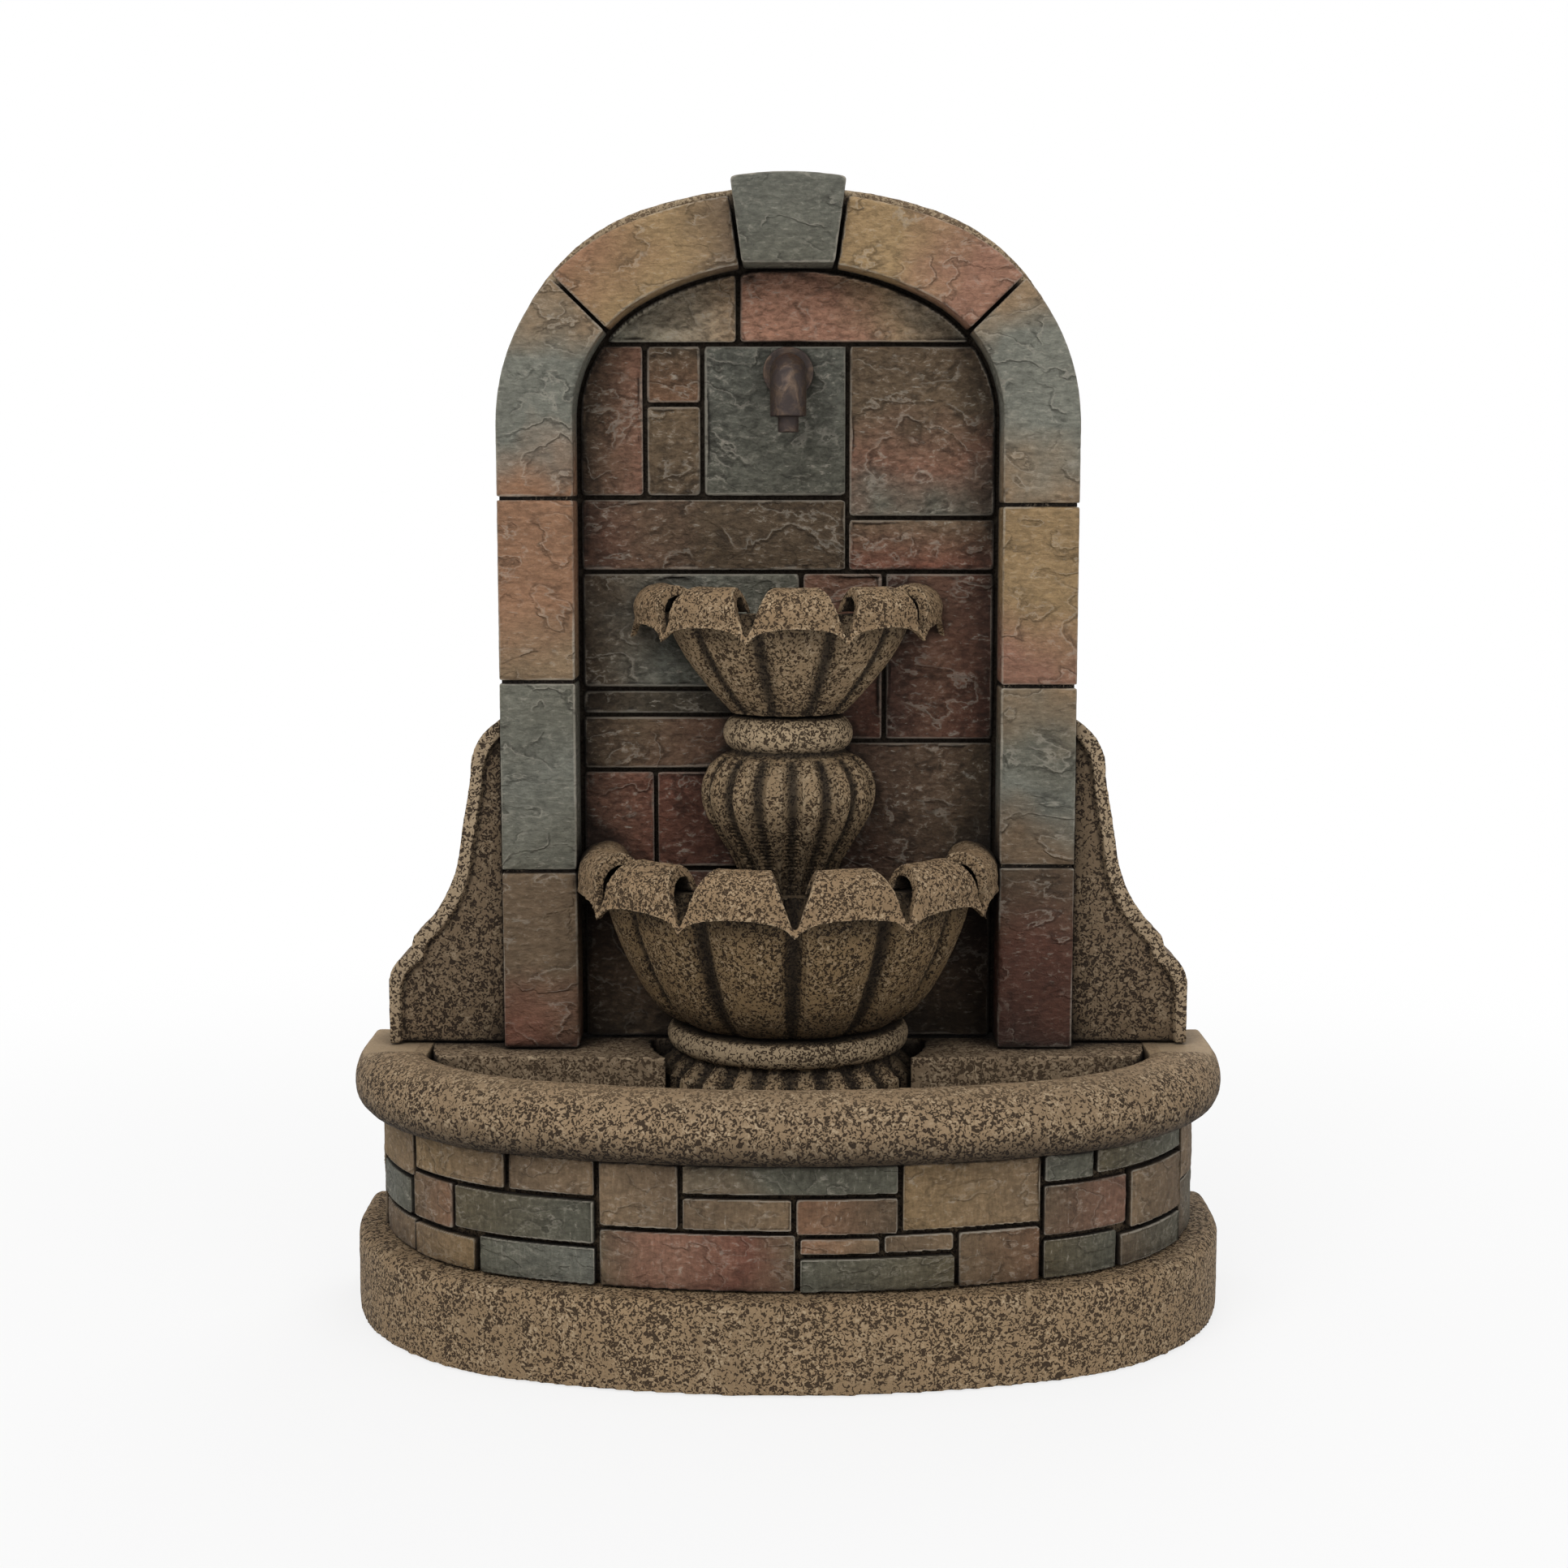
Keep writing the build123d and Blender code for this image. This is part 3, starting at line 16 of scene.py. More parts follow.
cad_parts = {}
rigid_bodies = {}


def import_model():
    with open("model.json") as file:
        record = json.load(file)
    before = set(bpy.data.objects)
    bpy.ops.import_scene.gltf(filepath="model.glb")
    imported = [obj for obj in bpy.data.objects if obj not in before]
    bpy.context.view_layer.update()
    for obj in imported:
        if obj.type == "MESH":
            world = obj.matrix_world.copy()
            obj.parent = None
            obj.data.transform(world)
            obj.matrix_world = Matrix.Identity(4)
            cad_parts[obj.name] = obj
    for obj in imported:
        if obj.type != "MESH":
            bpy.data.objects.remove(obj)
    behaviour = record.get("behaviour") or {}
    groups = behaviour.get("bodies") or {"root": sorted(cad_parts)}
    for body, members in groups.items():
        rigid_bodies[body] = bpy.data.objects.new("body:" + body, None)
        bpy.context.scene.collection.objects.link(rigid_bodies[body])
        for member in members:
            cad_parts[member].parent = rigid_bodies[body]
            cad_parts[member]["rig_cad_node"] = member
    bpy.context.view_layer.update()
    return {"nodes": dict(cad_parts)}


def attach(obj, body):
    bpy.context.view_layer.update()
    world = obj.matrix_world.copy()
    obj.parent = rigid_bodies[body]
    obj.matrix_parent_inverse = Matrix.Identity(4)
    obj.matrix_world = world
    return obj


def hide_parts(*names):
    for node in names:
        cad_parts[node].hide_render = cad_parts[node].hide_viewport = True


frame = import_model()
bpy.ops.object.select_all(action="DESELECT")

# %% [markdown]
# ## Camera, floor and light
# The photograph looks at the wall from a little above the rim, about 1.2 m away. Its background is
# plain white, so the floor and the world turn white for rays that come from the camera or from a
# reflection, and the lamps stay at a level at which a colour renders about as it is written.

# %% Camera
CAMERA_PLACE = (-0.0022, -1.1518, 0.4326)
CAMERA_PITCH = 7.1
CAMERA_LENS = 52.17

bpy.ops.object.camera_add(location=CAMERA_PLACE, rotation=(radians(90 - CAMERA_PITCH), 0, 0))
camera = bpy.context.active_object
camera.data.lens = CAMERA_LENS
camera.data.sensor_width = 36.0
bpy.context.scene.camera = camera
bpy.context.scene.view_settings.view_transform = "Standard"
print("camera at", tuple(camera.location))


# %% [markdown]
# ## Writing a finish as a formula
# A finish is a small network of nodes. Written node by node it is hard to read, so one class wraps
# a socket: sums on it add Math nodes, and its `node` method adds any other node with its settings
# first and its sockets after.

# %% A socket that can be calculated with
class Tone:
    """An output socket of a material. Sums on it become Math nodes."""

    def __init__(self, socket):
        self.socket = socket

    def node(self, kind, settings=None, links=None, out=0):
        """Add a node, set it up, feed its sockets, and hand back one of its outputs."""
        tree = self.socket.id_data
        made = tree.nodes.new("ShaderNode" + kind)
        for key, value in (settings or {}).items():
            setattr(made, key, value)
        for key, value in (links or {}).items():
            if isinstance(value, Tone):
                tree.links.new(value.socket, made.inputs[key])
            else:
                made.inputs[key].default_value = value
        return Tone(made.outputs[out])

    def sum(self, operation, first, second=0.0):
        """One Math node."""
        return self.node("Math", {"operation": operation}, {0: first, 1: second})

    def __add__(self, other):
        return self.sum("ADD", self, other)

    def __sub__(self, other):
        return self.sum("SUBTRACT", self, other)

    def __rsub__(self, other):
        return self.sum("SUBTRACT", other, self)

    def __mul__(self, other):
        return self.sum("MULTIPLY", self, other)

    def __pow__(self, other):
        return self.sum("POWER", self, other)

    def rise(self, low, high):
        """0 below low, 1 above high, and a smooth rise between them."""
        return self.node("MapRange", {"interpolation_type": "SMOOTHSTEP"},
                         {"Value": self, "From Min": low, "From Max": high})

    def speckle(self, size, detail=2.0, rough=0.5, warp=0.0):
        """Noise with lumps of a size in metres, read at this place."""
        return self.node("TexNoise", None, {"Vector": self, "Scale": 1 / size, "Detail": detail,
                                            "Roughness": rough, "Distortion": warp})

    def stretched(self, x, y, z, turn=0.0):
        """This place with its three directions scaled, then turned about the depth."""
        return self.node("Mapping", {"vector_type": "POINT"},
                         {"Vector": self, "Scale": (x, y, z), "Rotation": (0, radians(turn), 0)})


def blend(share, first, second):
    """Mix two colours by a share from 0 to 1."""
    return share.node("Mix", {"data_type": "RGBA"}, {0: share, 6: first, 7: second}, 2)


def shaded(colour, level):
    """Multiply a colour by a grey level."""
    return level.node("Mix", {"data_type": "RGBA", "blend_type": "MULTIPLY"},
                      {0: 1.0, 6: colour, 7: level}, 2)


def srgb(red, green, blue):
    """A colour as read on a screen, 0 to 255, in Blender's linear light."""
    def linear(level):
        share = level / 255
        return share / 12.92 if share <= 0.04045 else ((share + 0.055) / 1.055) ** 2.4
    return linear(red), linear(green), linear(blue), 1.0


print("finish tools ready")


# %% [markdown]
# ## What every finish starts from
# A finish has a shader, the place on the piece, the marks painted on its points, and its hollows.

# %% A new material with its shader, its place on the piece and its hollows
def new_finish(name, constants):
    """A material with constants set on its shader; returns it, the shader and Object coordinates."""
    material = bpy.data.materials.new(name)
    material.use_nodes = True
    nodes = material.node_tree.nodes
    shader = nodes["Principled BSDF"]
    for key, value in constants.items():
        shader.inputs[key].default_value = value
    place = Tone(nodes.new("ShaderNodeTexCoord").outputs["Object"])
    return material, shader, place


def wire(shader, tones):
    """Link worked-out values to the shader's sockets."""
    for key, tone in tones.items():
        shader.id_data.links.new(tone.socket, shader.inputs[key])


def hollows(place, reach, alone=False):
    """1 deep in a corner or a groove, 0 on an open face; alone leaves out all other pieces."""
    open_sky = place.node("AmbientOcclusion", {"samples": 8, "only_local": alone},
                          {"Distance": reach}, "AO")
    return 1 - open_sky


def mark(place, name):
    """A value painted on the piece's points: carved, even, rubbed, or the dark of wash and painted shade.
    """
    return place.node("Attribute", {"attribute_name": name}, None, "Fac")


def relief(height, depth):
    """Turn a height from 0 to 1 into a bump of a depth in metres."""
    return height.node("Bump", None, {"Height": height, "Strength": 1.0, "Distance": depth})


# %% [markdown]
# ## Floor and lamps
# A broad key lamp stands at the left, a weaker fill at the right, one lamp above and one behind.

# %% Floor, backdrop and lamps
FLOOR_SIZE = 8.0
FLOOR_Z = -0.0006
NEAR_FLOOR = 0.3
FAR_FLOOR = 1.1

bpy.ops.mesh.primitive_plane_add(size=FLOOR_SIZE, location=(0, 0, FLOOR_Z))
floor = bpy.context.active_object
floor.name = "floor"
floor_finish, floor_shader, floor_place = new_finish("pale_floor", {
    "Roughness": 0.9, "Base Color": srgb(236, 236, 236)})
seen = floor_place.node("LightPath", None, None, "Is Camera Ray")
reflected = floor_place.node("LightPath", None, None, "Is Glossy Ray")
away = floor_place.node("VectorMath", {"operation": "LENGTH"}, {0: floor_place}, "Value")
far = away.rise(NEAR_FLOOR, FAR_FLOOR)
white = floor_place.node("Emission", None, {"Color": (1, 1, 1, 1), "Strength": 1.0})
paper = floor_place.node("MixShader", None, {
    0: (seen + reflected) * (far * 0.22 + 0.78), 1: Tone(floor_shader.outputs[0]), 2: white})
floor_output = floor_finish.node_tree.nodes["Material Output"]
floor_finish.node_tree.links.new(paper.socket, floor_output.inputs["Surface"])
floor.data.materials.append(floor_finish)

world = bpy.data.worlds.new("studio")
bpy.context.scene.world = world
world.use_nodes = True
sky = world.node_tree.nodes["Background"]
sky_path = world.node_tree.nodes.new("ShaderNodeLightPath")
direct = Tone(sky_path.outputs["Is Camera Ray"])
behind = Tone(sky_path.outputs["Is Glossy Ray"]) + Tone(sky_path.outputs["Is Transmission Ray"])
ROOM_LEVEL = 0.42
level = direct.sum("MINIMUM", direct + behind * 0.5, 1.0) * (1 - ROOM_LEVEL) + ROOM_LEVEL
world.node_tree.links.new(level.socket, sky.inputs["Strength"])
sky.inputs["Color"].default_value = (1, 1, 1, 1)

LAMPS = (
    ("key_lamp", (-0.75, -1.35, 1.55), 1.1, 15.0),
    ("fill_lamp", (1.1, -1.3, 0.9), 1.2, 6.0),
    ("top_lamp", (0.0, -0.25, 1.9), 1.0, 7.0),
    ("back_lamp", (0.5, 1.5, 1.2), 1.2, 9.0),
)
AIM = Vector((0, 0.03, 0.28))
for lamp_name, lamp_place, lamp_size, lamp_power in LAMPS:
    bpy.ops.object.light_add(type="AREA", location=lamp_place)
    lamp = bpy.context.active_object
    lamp.name = lamp_name
    lamp.data.size = lamp_size
    lamp.data.energy = lamp_power
    lamp.rotation_euler = (AIM - lamp.location).to_track_quat("-Z", "Y").to_euler()
print("lamps:", len(LAMPS))


# %% [markdown]
# ## The cast stone
# The basin, the wings and the bowls are cast in one tan mix. Its skin is full of short worm-like
# pits with a brown wash in them, every seam and corner is darkened by brown wash and painted shade,
# and a dry brush has left the raised edges pale. Where a plain noise passes a level its two sides lie
# in each other like worms, so the pits are its lower side, and a second, wider noise shifts the level
# so that they crowd in places.

# %% Cast stone finish
# A dark brown for the wash and for painted shade in hollows, seams and under overhangs.
SHADE_AND_WASH_BROWN = srgb(26, 20, 15)
DRY_BRUSH = srgb(202, 182, 152)
STONE_DRIFT = 0.055
STONE_CROWD = 0.012
STONE_GRAIN = 0.0007
STONE_RELIEF = 0.0009
HOLLOW_REACH = 0.030


def cast_stone(name, light, dark, worm, shade_and_wash_level, alone=False):
    """Tan pitted casting: light and dark colours, size of the pits, and how much brown wash and painted
    shade it gets.
    """
    material, shader, place = new_finish(name, {"Specular IOR Level": 0.22})
    low = mark(place, "carved")
    rubbed = mark(place, "rubbed")
    drift = place.speckle(STONE_DRIFT, 3.0)
    crowd = place.speckle(STONE_CROWD, 2.0)
    field = place.speckle(worm, 1.0, 0.40, 1.2) - (crowd - 0.5) * 0.16 - (drift - 0.5) * 0.18
    pits = (1 - field.rise(0.41, 0.49)) * (1 - mark(place, "even"))
    grain = place.speckle(STONE_GRAIN, 3.0, 0.6)
    colour = shaded(light, drift.rise(0.30, 0.70) * 0.20 + 0.82)
    colour = shaded(colour, grain * 0.50 + 0.76)
    brushed = field.rise(0.55, 0.70) * crowd.rise(0.38, 0.60)
    edges = (0 - low).rise(0.25, 0.90)
    brushed = brushed.sum("MAXIMUM", brushed * 0.50, edges * 0.56)
    brushed = brushed.sum("MAXIMUM", brushed, rubbed * 0.40)
    colour = blend(brushed, colour, DRY_BRUSH)
    colour = blend(pits * 0.92, colour, dark)
    # Seams, corners found by ambient occlusion and the painted marks pull the colour to dark brown: brown
    # wash in the seams, painted shade in corners and under overhangs.
    seams = low.rise(0.06, 0.60)
    shade_and_wash = hollows(place, HOLLOW_REACH, alone).rise(0.12, 0.75) * (1 - rubbed * 0.7)
    shade_and_wash = shade_and_wash.sum("MAXIMUM", shade_and_wash, seams * 0.95)
    shade_and_wash = shade_and_wash.sum("MAXIMUM", shade_and_wash, mark(place, "wash_and_shade"))
    colour = blend(shade_and_wash * shade_and_wash_level, colour, SHADE_AND_WASH_BROWN)
    wire(shader, {"Base Color": colour, "Roughness": pits * 0.10 + 0.76,
                  "Normal": relief(grain * 0.20 - pits * 0.80 + brushed * 0.3, STONE_RELIEF)})
    return material


pitted_stone = cast_stone("pitted_stone", srgb(158, 134, 103), srgb(50, 37, 26), 0.0018, 0.95)
plinth_stone = cast_stone("plinth_stone", srgb(152, 128, 98), srgb(48, 36, 26), 0.0018, 0.95, True)
rim_stone = cast_stone("rim_stone", srgb(147, 124, 96), srgb(42, 31, 22), 0.0019, 0.95)
leaf_stone = cast_stone("leaf_stone", srgb(148, 123, 93), srgb(48, 36, 25), 0.0016, 0.95)
# The lower bowl gets a darker copy of the cast stone: painted shade for a bowl that sits under its leaves.
bowl_stone = cast_stone("bowl_stone", srgb(138, 114, 82), srgb(36, 27, 19), 0.0016, 0.98)
wing_stone = cast_stone("wing_stone", srgb(142, 120, 94), srgb(42, 31, 23), 0.0019, 0.98)
ledge_stone = cast_stone("ledge_stone", srgb(138, 118, 94), srgb(70, 56, 42), 0.0021, 0.98)
back_stone = cast_stone("back_stone", srgb(156, 137, 110), srgb(104, 86, 67), 0.0020, 0.96)
print("cast stone finishes made")


# %% [markdown]
# ## Slate
# The arch, the wall and the band of the basin are split slate. Split stone breaks in thin steps, so
# its face has ledges that run across it, each with a pale edge that is dry brush and painted highlight
# and a painted shadow below it, and each stone has its own colour. The colour is painted on each
# stone's points as an attribute, and one finish adds the rest, with painted shade in grooves and corners.

# %% Slate finish
SLATE_DRIFT = 0.024
SLATE_PATCH = 0.022
SLATE_ROUGH = 0.0048
SLATE_SCRATCH = 0.0065
SLATE_GRAIN = 0.0009
SLATE_RELIEF = 0.0010


def split_slate(name, reach, brush, depth, span, lips, streak, edge=0.60):
    """Cleft stone painted by its points: how far the painted shade reaches, how strong the brush is, how
    rough it is, its ledges.
    """
    material, shader, place = new_finish(name, {"Specular IOR Level": 0.28})
    tint = place.node("Attribute", {"attribute_name": "tint"}, None, "Color")
    drift = place.speckle(SLATE_DRIFT, 5.0, 0.62)
    patches = place.speckle(SLATE_PATCH, 2.0)
    height = place.stretched(1.0, 1.0, 1.5, 24).speckle(span, 6.0, 0.52, 0.3) * 7.0
    tread = height.sum("FRACT", height)
    riser = tread.rise(0.84, 1.0)
    # Each ledge gets a pale lip, partly dry brush and partly a painted highlight, and a painted shadow
    # just below it.
    lip_brush_highlight = (1 - tread.rise(0.02, 0.12)) * patches.rise(0.40, 0.54)
    ledge_shadow = tread.rise(0.74, 0.90) * (1 - tread.rise(0.90, 1.0)) * patches.rise(0.40, 0.54)
    rough = place.stretched(1.0, 1.0, 1.7, -30).speckle(SLATE_ROUGH, 7.0, 0.68, 0.4)
    scratch = place.stretched(*streak).speckle(SLATE_SCRATCH, 4.0, 0.66)
    grain = place.speckle(SLATE_GRAIN, 3.0, 0.6)
    colour = shaded(tint, drift * 0.60 + 0.74)
    colour = shaded(colour, rough.rise(0.30, 0.64) * depth + (1.08 - depth))
    colour = shaded(colour, scratch.rise(0.36, 0.60) * 0.22 + 0.84)
    colour = shaded(colour, grain * 0.36 + 0.82)
    pale = blend(drift, srgb(196, 184, 166), srgb(176, 172, 160))
    low = mark(place, "carved")
    flecks = rough.rise(0.54, 0.68) * patches.rise(0.38, 0.60)
    flecks = flecks.sum("MAXIMUM", flecks, scratch.rise(0.60, 0.70) * (1 - patches).rise(0.40, 0.60))
    edges = (0 - low).rise(0.30, 0.95)
    flecks = flecks.sum("MAXIMUM", flecks * brush, edges * edge)
    colour = blend(flecks.sum("MAXIMUM", flecks, lip_brush_highlight * lips), colour, pale)
    # Grooves, the painted shadow under each ledge and the shade found by ambient occlusion pull the colour
    # to dark brown: painted shade, with dark joints between the stones.
    seams = low.rise(0.20, 0.90) * 0.75
    seams = seams.sum("MAXIMUM", seams, ledge_shadow * lips * 1.4)
    shade_and_wash = hollows(place, reach).rise(0.14, 0.72)
    shade_and_wash = shade_and_wash.sum("MAXIMUM", shade_and_wash, seams)
    colour = blend(shade_and_wash * 0.94, colour, SHADE_AND_WASH_BROWN)
    steps = (height - tread + riser) * 0.8 + rough * (depth * 5.0) + scratch * 0.5 + grain * 0.15
    wire(shader, {"Base Color": colour, "Roughness": 0.80 - flecks * 0.1 - grain * 0.12,
                  "Normal": relief(steps, SLATE_RELIEF)})
    return material


ACROSS = (1.0, 1.0, 4.5, 22)
DOWNWARD = (4.0, 4.0, 1.0, 14)
DIAGONAL = (1.0, 1.0, 3.2, -34)
slate = split_slate("slate", 0.024, 0.34, 0.36, 0.052, 0.30, ACROSS)
band_slate = split_slate("band_slate", 0.018, 0.46, 0.40, 0.040, 0.20, DOWNWARD)
recess_slate = split_slate("recess_slate", 0.036, 0.62, 0.62, 0.062, 0.36, DIAGONAL, 0.40)
mortar_finish = cast_stone("mortar", srgb(40, 32, 25), srgb(24, 19, 15), 0.0014, 0.6)
print("slate finishes made")


# %% [markdown]
# ## Working on a copy of a CAD solid
# A CAD node's own mesh is never touched. A copy of it is welded, laid over with an even net of
# small faces by a voxel remesh, smoothed so that its edges round off as cast stone does, and then
# worn by Displace modifiers. Each of these only takes stone away, so the piece stays inside the
# solid that it stands for.

# %% Tools for the copies
WELD = 1e-5


def pick(piece):
    """Select one object alone and make it active."""
    bpy.ops.object.select_all(action="DESELECT")
    piece.select_set(True)
    bpy.context.view_layer.objects.active = piece


def copy_of(node, name):
    """A welded copy of a CAD node, as a new piece."""
    pick(frame["nodes"][node])
    bpy.ops.object.duplicate()
    piece = bpy.context.active_object
    piece.name = name
    piece.data.name = name
    del piece["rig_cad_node"]
    piece.data.materials.clear()
    bpy.ops.object.mode_set(mode="EDIT")
    bpy.ops.mesh.select_all(action="SELECT")
    bpy.ops.mesh.remove_doubles(threshold=WELD)
    bpy.ops.object.mode_set(mode="OBJECT")
    return piece


def finish_with(piece, kind, **settings):
    """Add a modifier, set it up and apply it."""
    modifier = piece.modifiers.new(kind.title(), kind)
    for key, value in settings.items():
        setattr(modifier, key, value)
    pick(piece)
    bpy.ops.object.modifier_apply(modifier=modifier.name)


def recast(piece, cell, rounds):
    """Lay an even net of faces over a piece and round its edges."""
    finish_with(piece, "REMESH", mode="VOXEL", voxel_size=cell)
    finish_with(piece, "SMOOTH", factor=0.5, iterations=rounds)


bpy.ops.object.empty_add(type="PLAIN_AXES")
chisel = bpy.context.active_object
chisel.name = "chisel"


def wear(piece, texture, depth, size, turn=0.0, start=0.0, group=""):
    """Take up to a depth of stone away, by a texture whose lumps have a size and a direction."""
    chisel.location = (start, start * 0.7, start * 1.3)
    chisel.rotation_euler = (0, radians(turn), 0)
    chisel.scale = size
    bpy.context.view_layer.update()
    finish_with(piece, "DISPLACE", texture=texture, texture_coords="OBJECT", vertex_group=group,
                texture_coords_object=chisel, mid_level=1.0, strength=depth)


def points(piece, kind):
    """Places or outward directions of a piece's points, one row for each."""
    source = piece.data.vertices if kind == "co" else piece.data.vertex_normals
    rows = np.empty(len(piece.data.vertices) * 3)
    source.foreach_get("co" if kind == "co" else "vector", rows)
    return rows.reshape(-1, 3)


WEIGHT_LEVELS = 12
BOWL_AXIS_Y = 0.062
SEAM_END = 0.0015
CREST_STEP = 0.002
LOBE_DEPTH = 0.08


def weigh(piece, name, weights):
    """A vertex group with weights in a few even levels."""
    group = piece.vertex_groups.new(name=name)
    for level in range(1, WEIGHT_LEVELS + 1):
        chosen = np.flatnonzero(np.round(weights * WEIGHT_LEVELS) == level)
        group.add(chosen.tolist(), level / WEIGHT_LEVELS, "REPLACE")
    return group.name


def face_group(piece, outward):
    """Weigh the points that look outwards, so that wear leaves a stone's sides alone."""
    facing = points(piece, "normal") @ np.array(outward)
    return weigh(piece, "face", np.clip((facing - 0.2) / 0.5, 0, 1))


def mark_carved(piece, rounds, depth):
    """Store how far each point lies below or above the piece's own smoothed form."""
    pick(piece)
    bpy.ops.object.duplicate()
    soft = bpy.context.active_object
    finish_with(soft, "SMOOTH", factor=0.5, iterations=rounds)
    sunk = ((points(soft, "co") - points(piece, "co")) * points(piece, "normal")).sum(axis=1) / depth
    bpy.data.objects.remove(soft)
    layer = piece.data.attributes.new("carved", "FLOAT", "POINT")
    layer.data.foreach_set("value", np.clip(sunk, -1, 1))


def paint(piece, name, values):
    """Raise a mark on the piece's points to the values given."""
    layer = piece.data.attributes.get(name) or piece.data.attributes.new(name, "FLOAT", "POINT")
    kept = np.empty(len(layer.data))
    layer.data.foreach_get("value", kept)
    layer.data.foreach_set("value", np.maximum(kept, values))


def crest_radius(radius, height):
    """The widest radius at each point's height."""
    level = ((height - height.min()) / CREST_STEP).astype(int)
    crest = np.zeros(level.max() + 1)
    np.maximum.at(crest, level, radius)
    return crest[level]


def seam_share(piece, lobes, turn, foot, head, half):
    """1 in the middle of each seam between a bowl's lobes, falling evenly to 0 at half its width;
    and how far each point still stands above the bottom of the seams."""
    spots = points(piece, "co") - (0, BOWL_AXIS_Y, 0)
    facing = points(piece, "normal")
    radius = np.hypot(spots[:, 0], spots[:, 1])
    step = np.arctan2(spots[:, 0], -spots[:, 1]) * lobes / (2 * pi) - turn
    aside = abs(step - np.round(step)) * radius * 2 * pi / lobes
    outward = (facing[:, :2] * spots[:, :2]).sum(axis=1) / radius
    ends = np.minimum(spots[:, 2] - foot, head - spots[:, 2]) / SEAM_END
    share = np.clip(1 - aside / half, 0, 1) * np.clip((outward - 0.1) / 0.2, 0, 1) * np.clip(ends, 0, 1)
    proud = (radius / crest_radius(radius, spots[:, 2]) - 1) / LOBE_DEPTH + 1
    return share * (facing[:, 1] < 0.8), np.clip(proud, 0, 1)


def sink(piece, name, weights, depth):
    """Move the points of a piece inwards by a depth, each by its weight."""
    finish_with(piece, "DISPLACE", vertex_group=weigh(piece, name, weights),
                mid_level=0.0, strength=-depth)


def spread_seam_shade(piece, rounds, most):
    """Spread the dark of the seams a little way up their sides: painted shade on the rounded flanks of the
    lobes.
    """
    ends = np.empty(len(piece.data.edges) * 2, dtype=np.int32)
    piece.data.edges.foreach_get("vertices", ends)
    first, second = ends.reshape(-1, 2).T
    count = len(piece.data.vertices)
    links = np.bincount(ends, minlength=count)
    seam_darkness = np.empty(count)
    piece.data.attributes["carved"].data.foreach_get("value", seam_darkness)
    seam_darkness = np.clip(seam_darkness, 0, 1)
    for _ in range(rounds):
        around = np.bincount(first, seam_darkness[second], count) + np.bincount(second, seam_darkness[first], count)
        seam_darkness = (seam_darkness + around / links) / 2
    paint(piece, "wash_and_shade", np.minimum(seam_darkness * 2.2, most))


def join(stones, name):
    """Several stones as one piece."""
    pick(stones[0])
    for stone in stones:
        stone.select_set(True)
    bpy.ops.object.join()
    piece = bpy.context.active_object
    piece.name = name
    piece.data.name = name
    return piece


def block(low, high):
    """A box between two corners, as a start for a strip."""
    bpy.ops.mesh.primitive_cube_add(size=1.0, location=(low + high) / 2)
    made = bpy.context.active_object
    made.scale = high - low
    bpy.ops.object.transform_apply(location=True, rotation=True, scale=True)
    return made


def done(piece, finish, body, slot, *nodes):
    """Shade a piece, paint it, seat it on its body and let it stand for its CAD nodes, if any."""
    pick(piece)
    bpy.ops.object.shade_smooth()
    piece.data.materials.clear()
    piece.data.materials.append(finish)
    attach(piece, body)
    if nodes:
        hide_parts(*nodes)
    print(piece.name, len(piece.data.polygons), "faces")


# %% [markdown]
# ## Two patterns of wear
# Castings wear in soft lumps. Slate breaks in ledges, so its pattern is a cloud whose greys are cut
# into a few flat treads by a colour ramp.

# %% Wear patterns
lumpy = bpy.data.textures.new("lumpy", "CLOUDS")
lumpy.noise_scale = 1.0
lumpy.noise_depth = 2

cleft_steps = bpy.data.textures.new("cleft_steps", "CLOUDS")
cleft_steps.noise_scale = 1.0
cleft_steps.noise_depth = 4
cleft_steps.use_color_ramp = True
STEPS = 6
STEP_EDGE = 0.012
stops = cleft_steps.color_ramp.elements
stops[0].position, stops[0].color = 0.0, (0, 0, 0, 1)
stops[1].position, stops[1].color = 1.0, (1, 1, 1, 1)
for step in range(1, STEPS):
    ledge_at = 0.24 + 0.52 * step / STEPS
    for side, tread in ((-1, step - 1), (1, step)):
        stop = stops.new(ledge_at + side * STEP_EDGE)
        grey = (tread + 0.25 * (side < 0)) / STEPS + 0.1
        stop.color = (grey, grey, grey, 1)
print("ledges in the cleft pattern:", STEPS)

# %% [markdown]
# ## Basin, wings and bowls
# The castings differ in their finish and in how fine their net is: the bowls and leaves carry the eye
# and get the finest one. The four lobed pieces also get wider seams between their lobes.

# %% Cast pieces
CASTINGS = (
    ("plinth", "plinth_cast", 0.0018, 3, plinth_stone),
    ("basin_tub", "basin_tub_cast", 0.0028, 2, pitted_stone),
    ("basin_coping", "basin_coping_cast", 0.0016, 3, rim_stone),
    ("ledge", "ledge_cast", 0.0018, 2, ledge_stone),
    ("wing_left", "wing_left_cast", 0.0012, 2, wing_stone),
    ("wing_right", "wing_right_cast", 0.0012, 2, wing_stone),
    ("lower_stem", "lower_stem_cast", 0.0009, 1, pitted_stone),
    ("lower_bowl", "lower_bowl_cast", 0.0010, 2, bowl_stone),
    ("lower_bowl_leaves", "lower_leaves_cast", 0.0009, 4, leaf_stone),
    ("upper_stem", "upper_stem_cast", 0.0009, 2, pitted_stone),
    ("upper_bowl", "upper_bowl_cast", 0.0009, 2, pitted_stone),
    ("upper_bowl_leaves", "upper_leaves_cast", 0.0008, 4, leaf_stone),
    ("back_slab", "back_slab_cast", 0.0028, 2, back_stone),
)
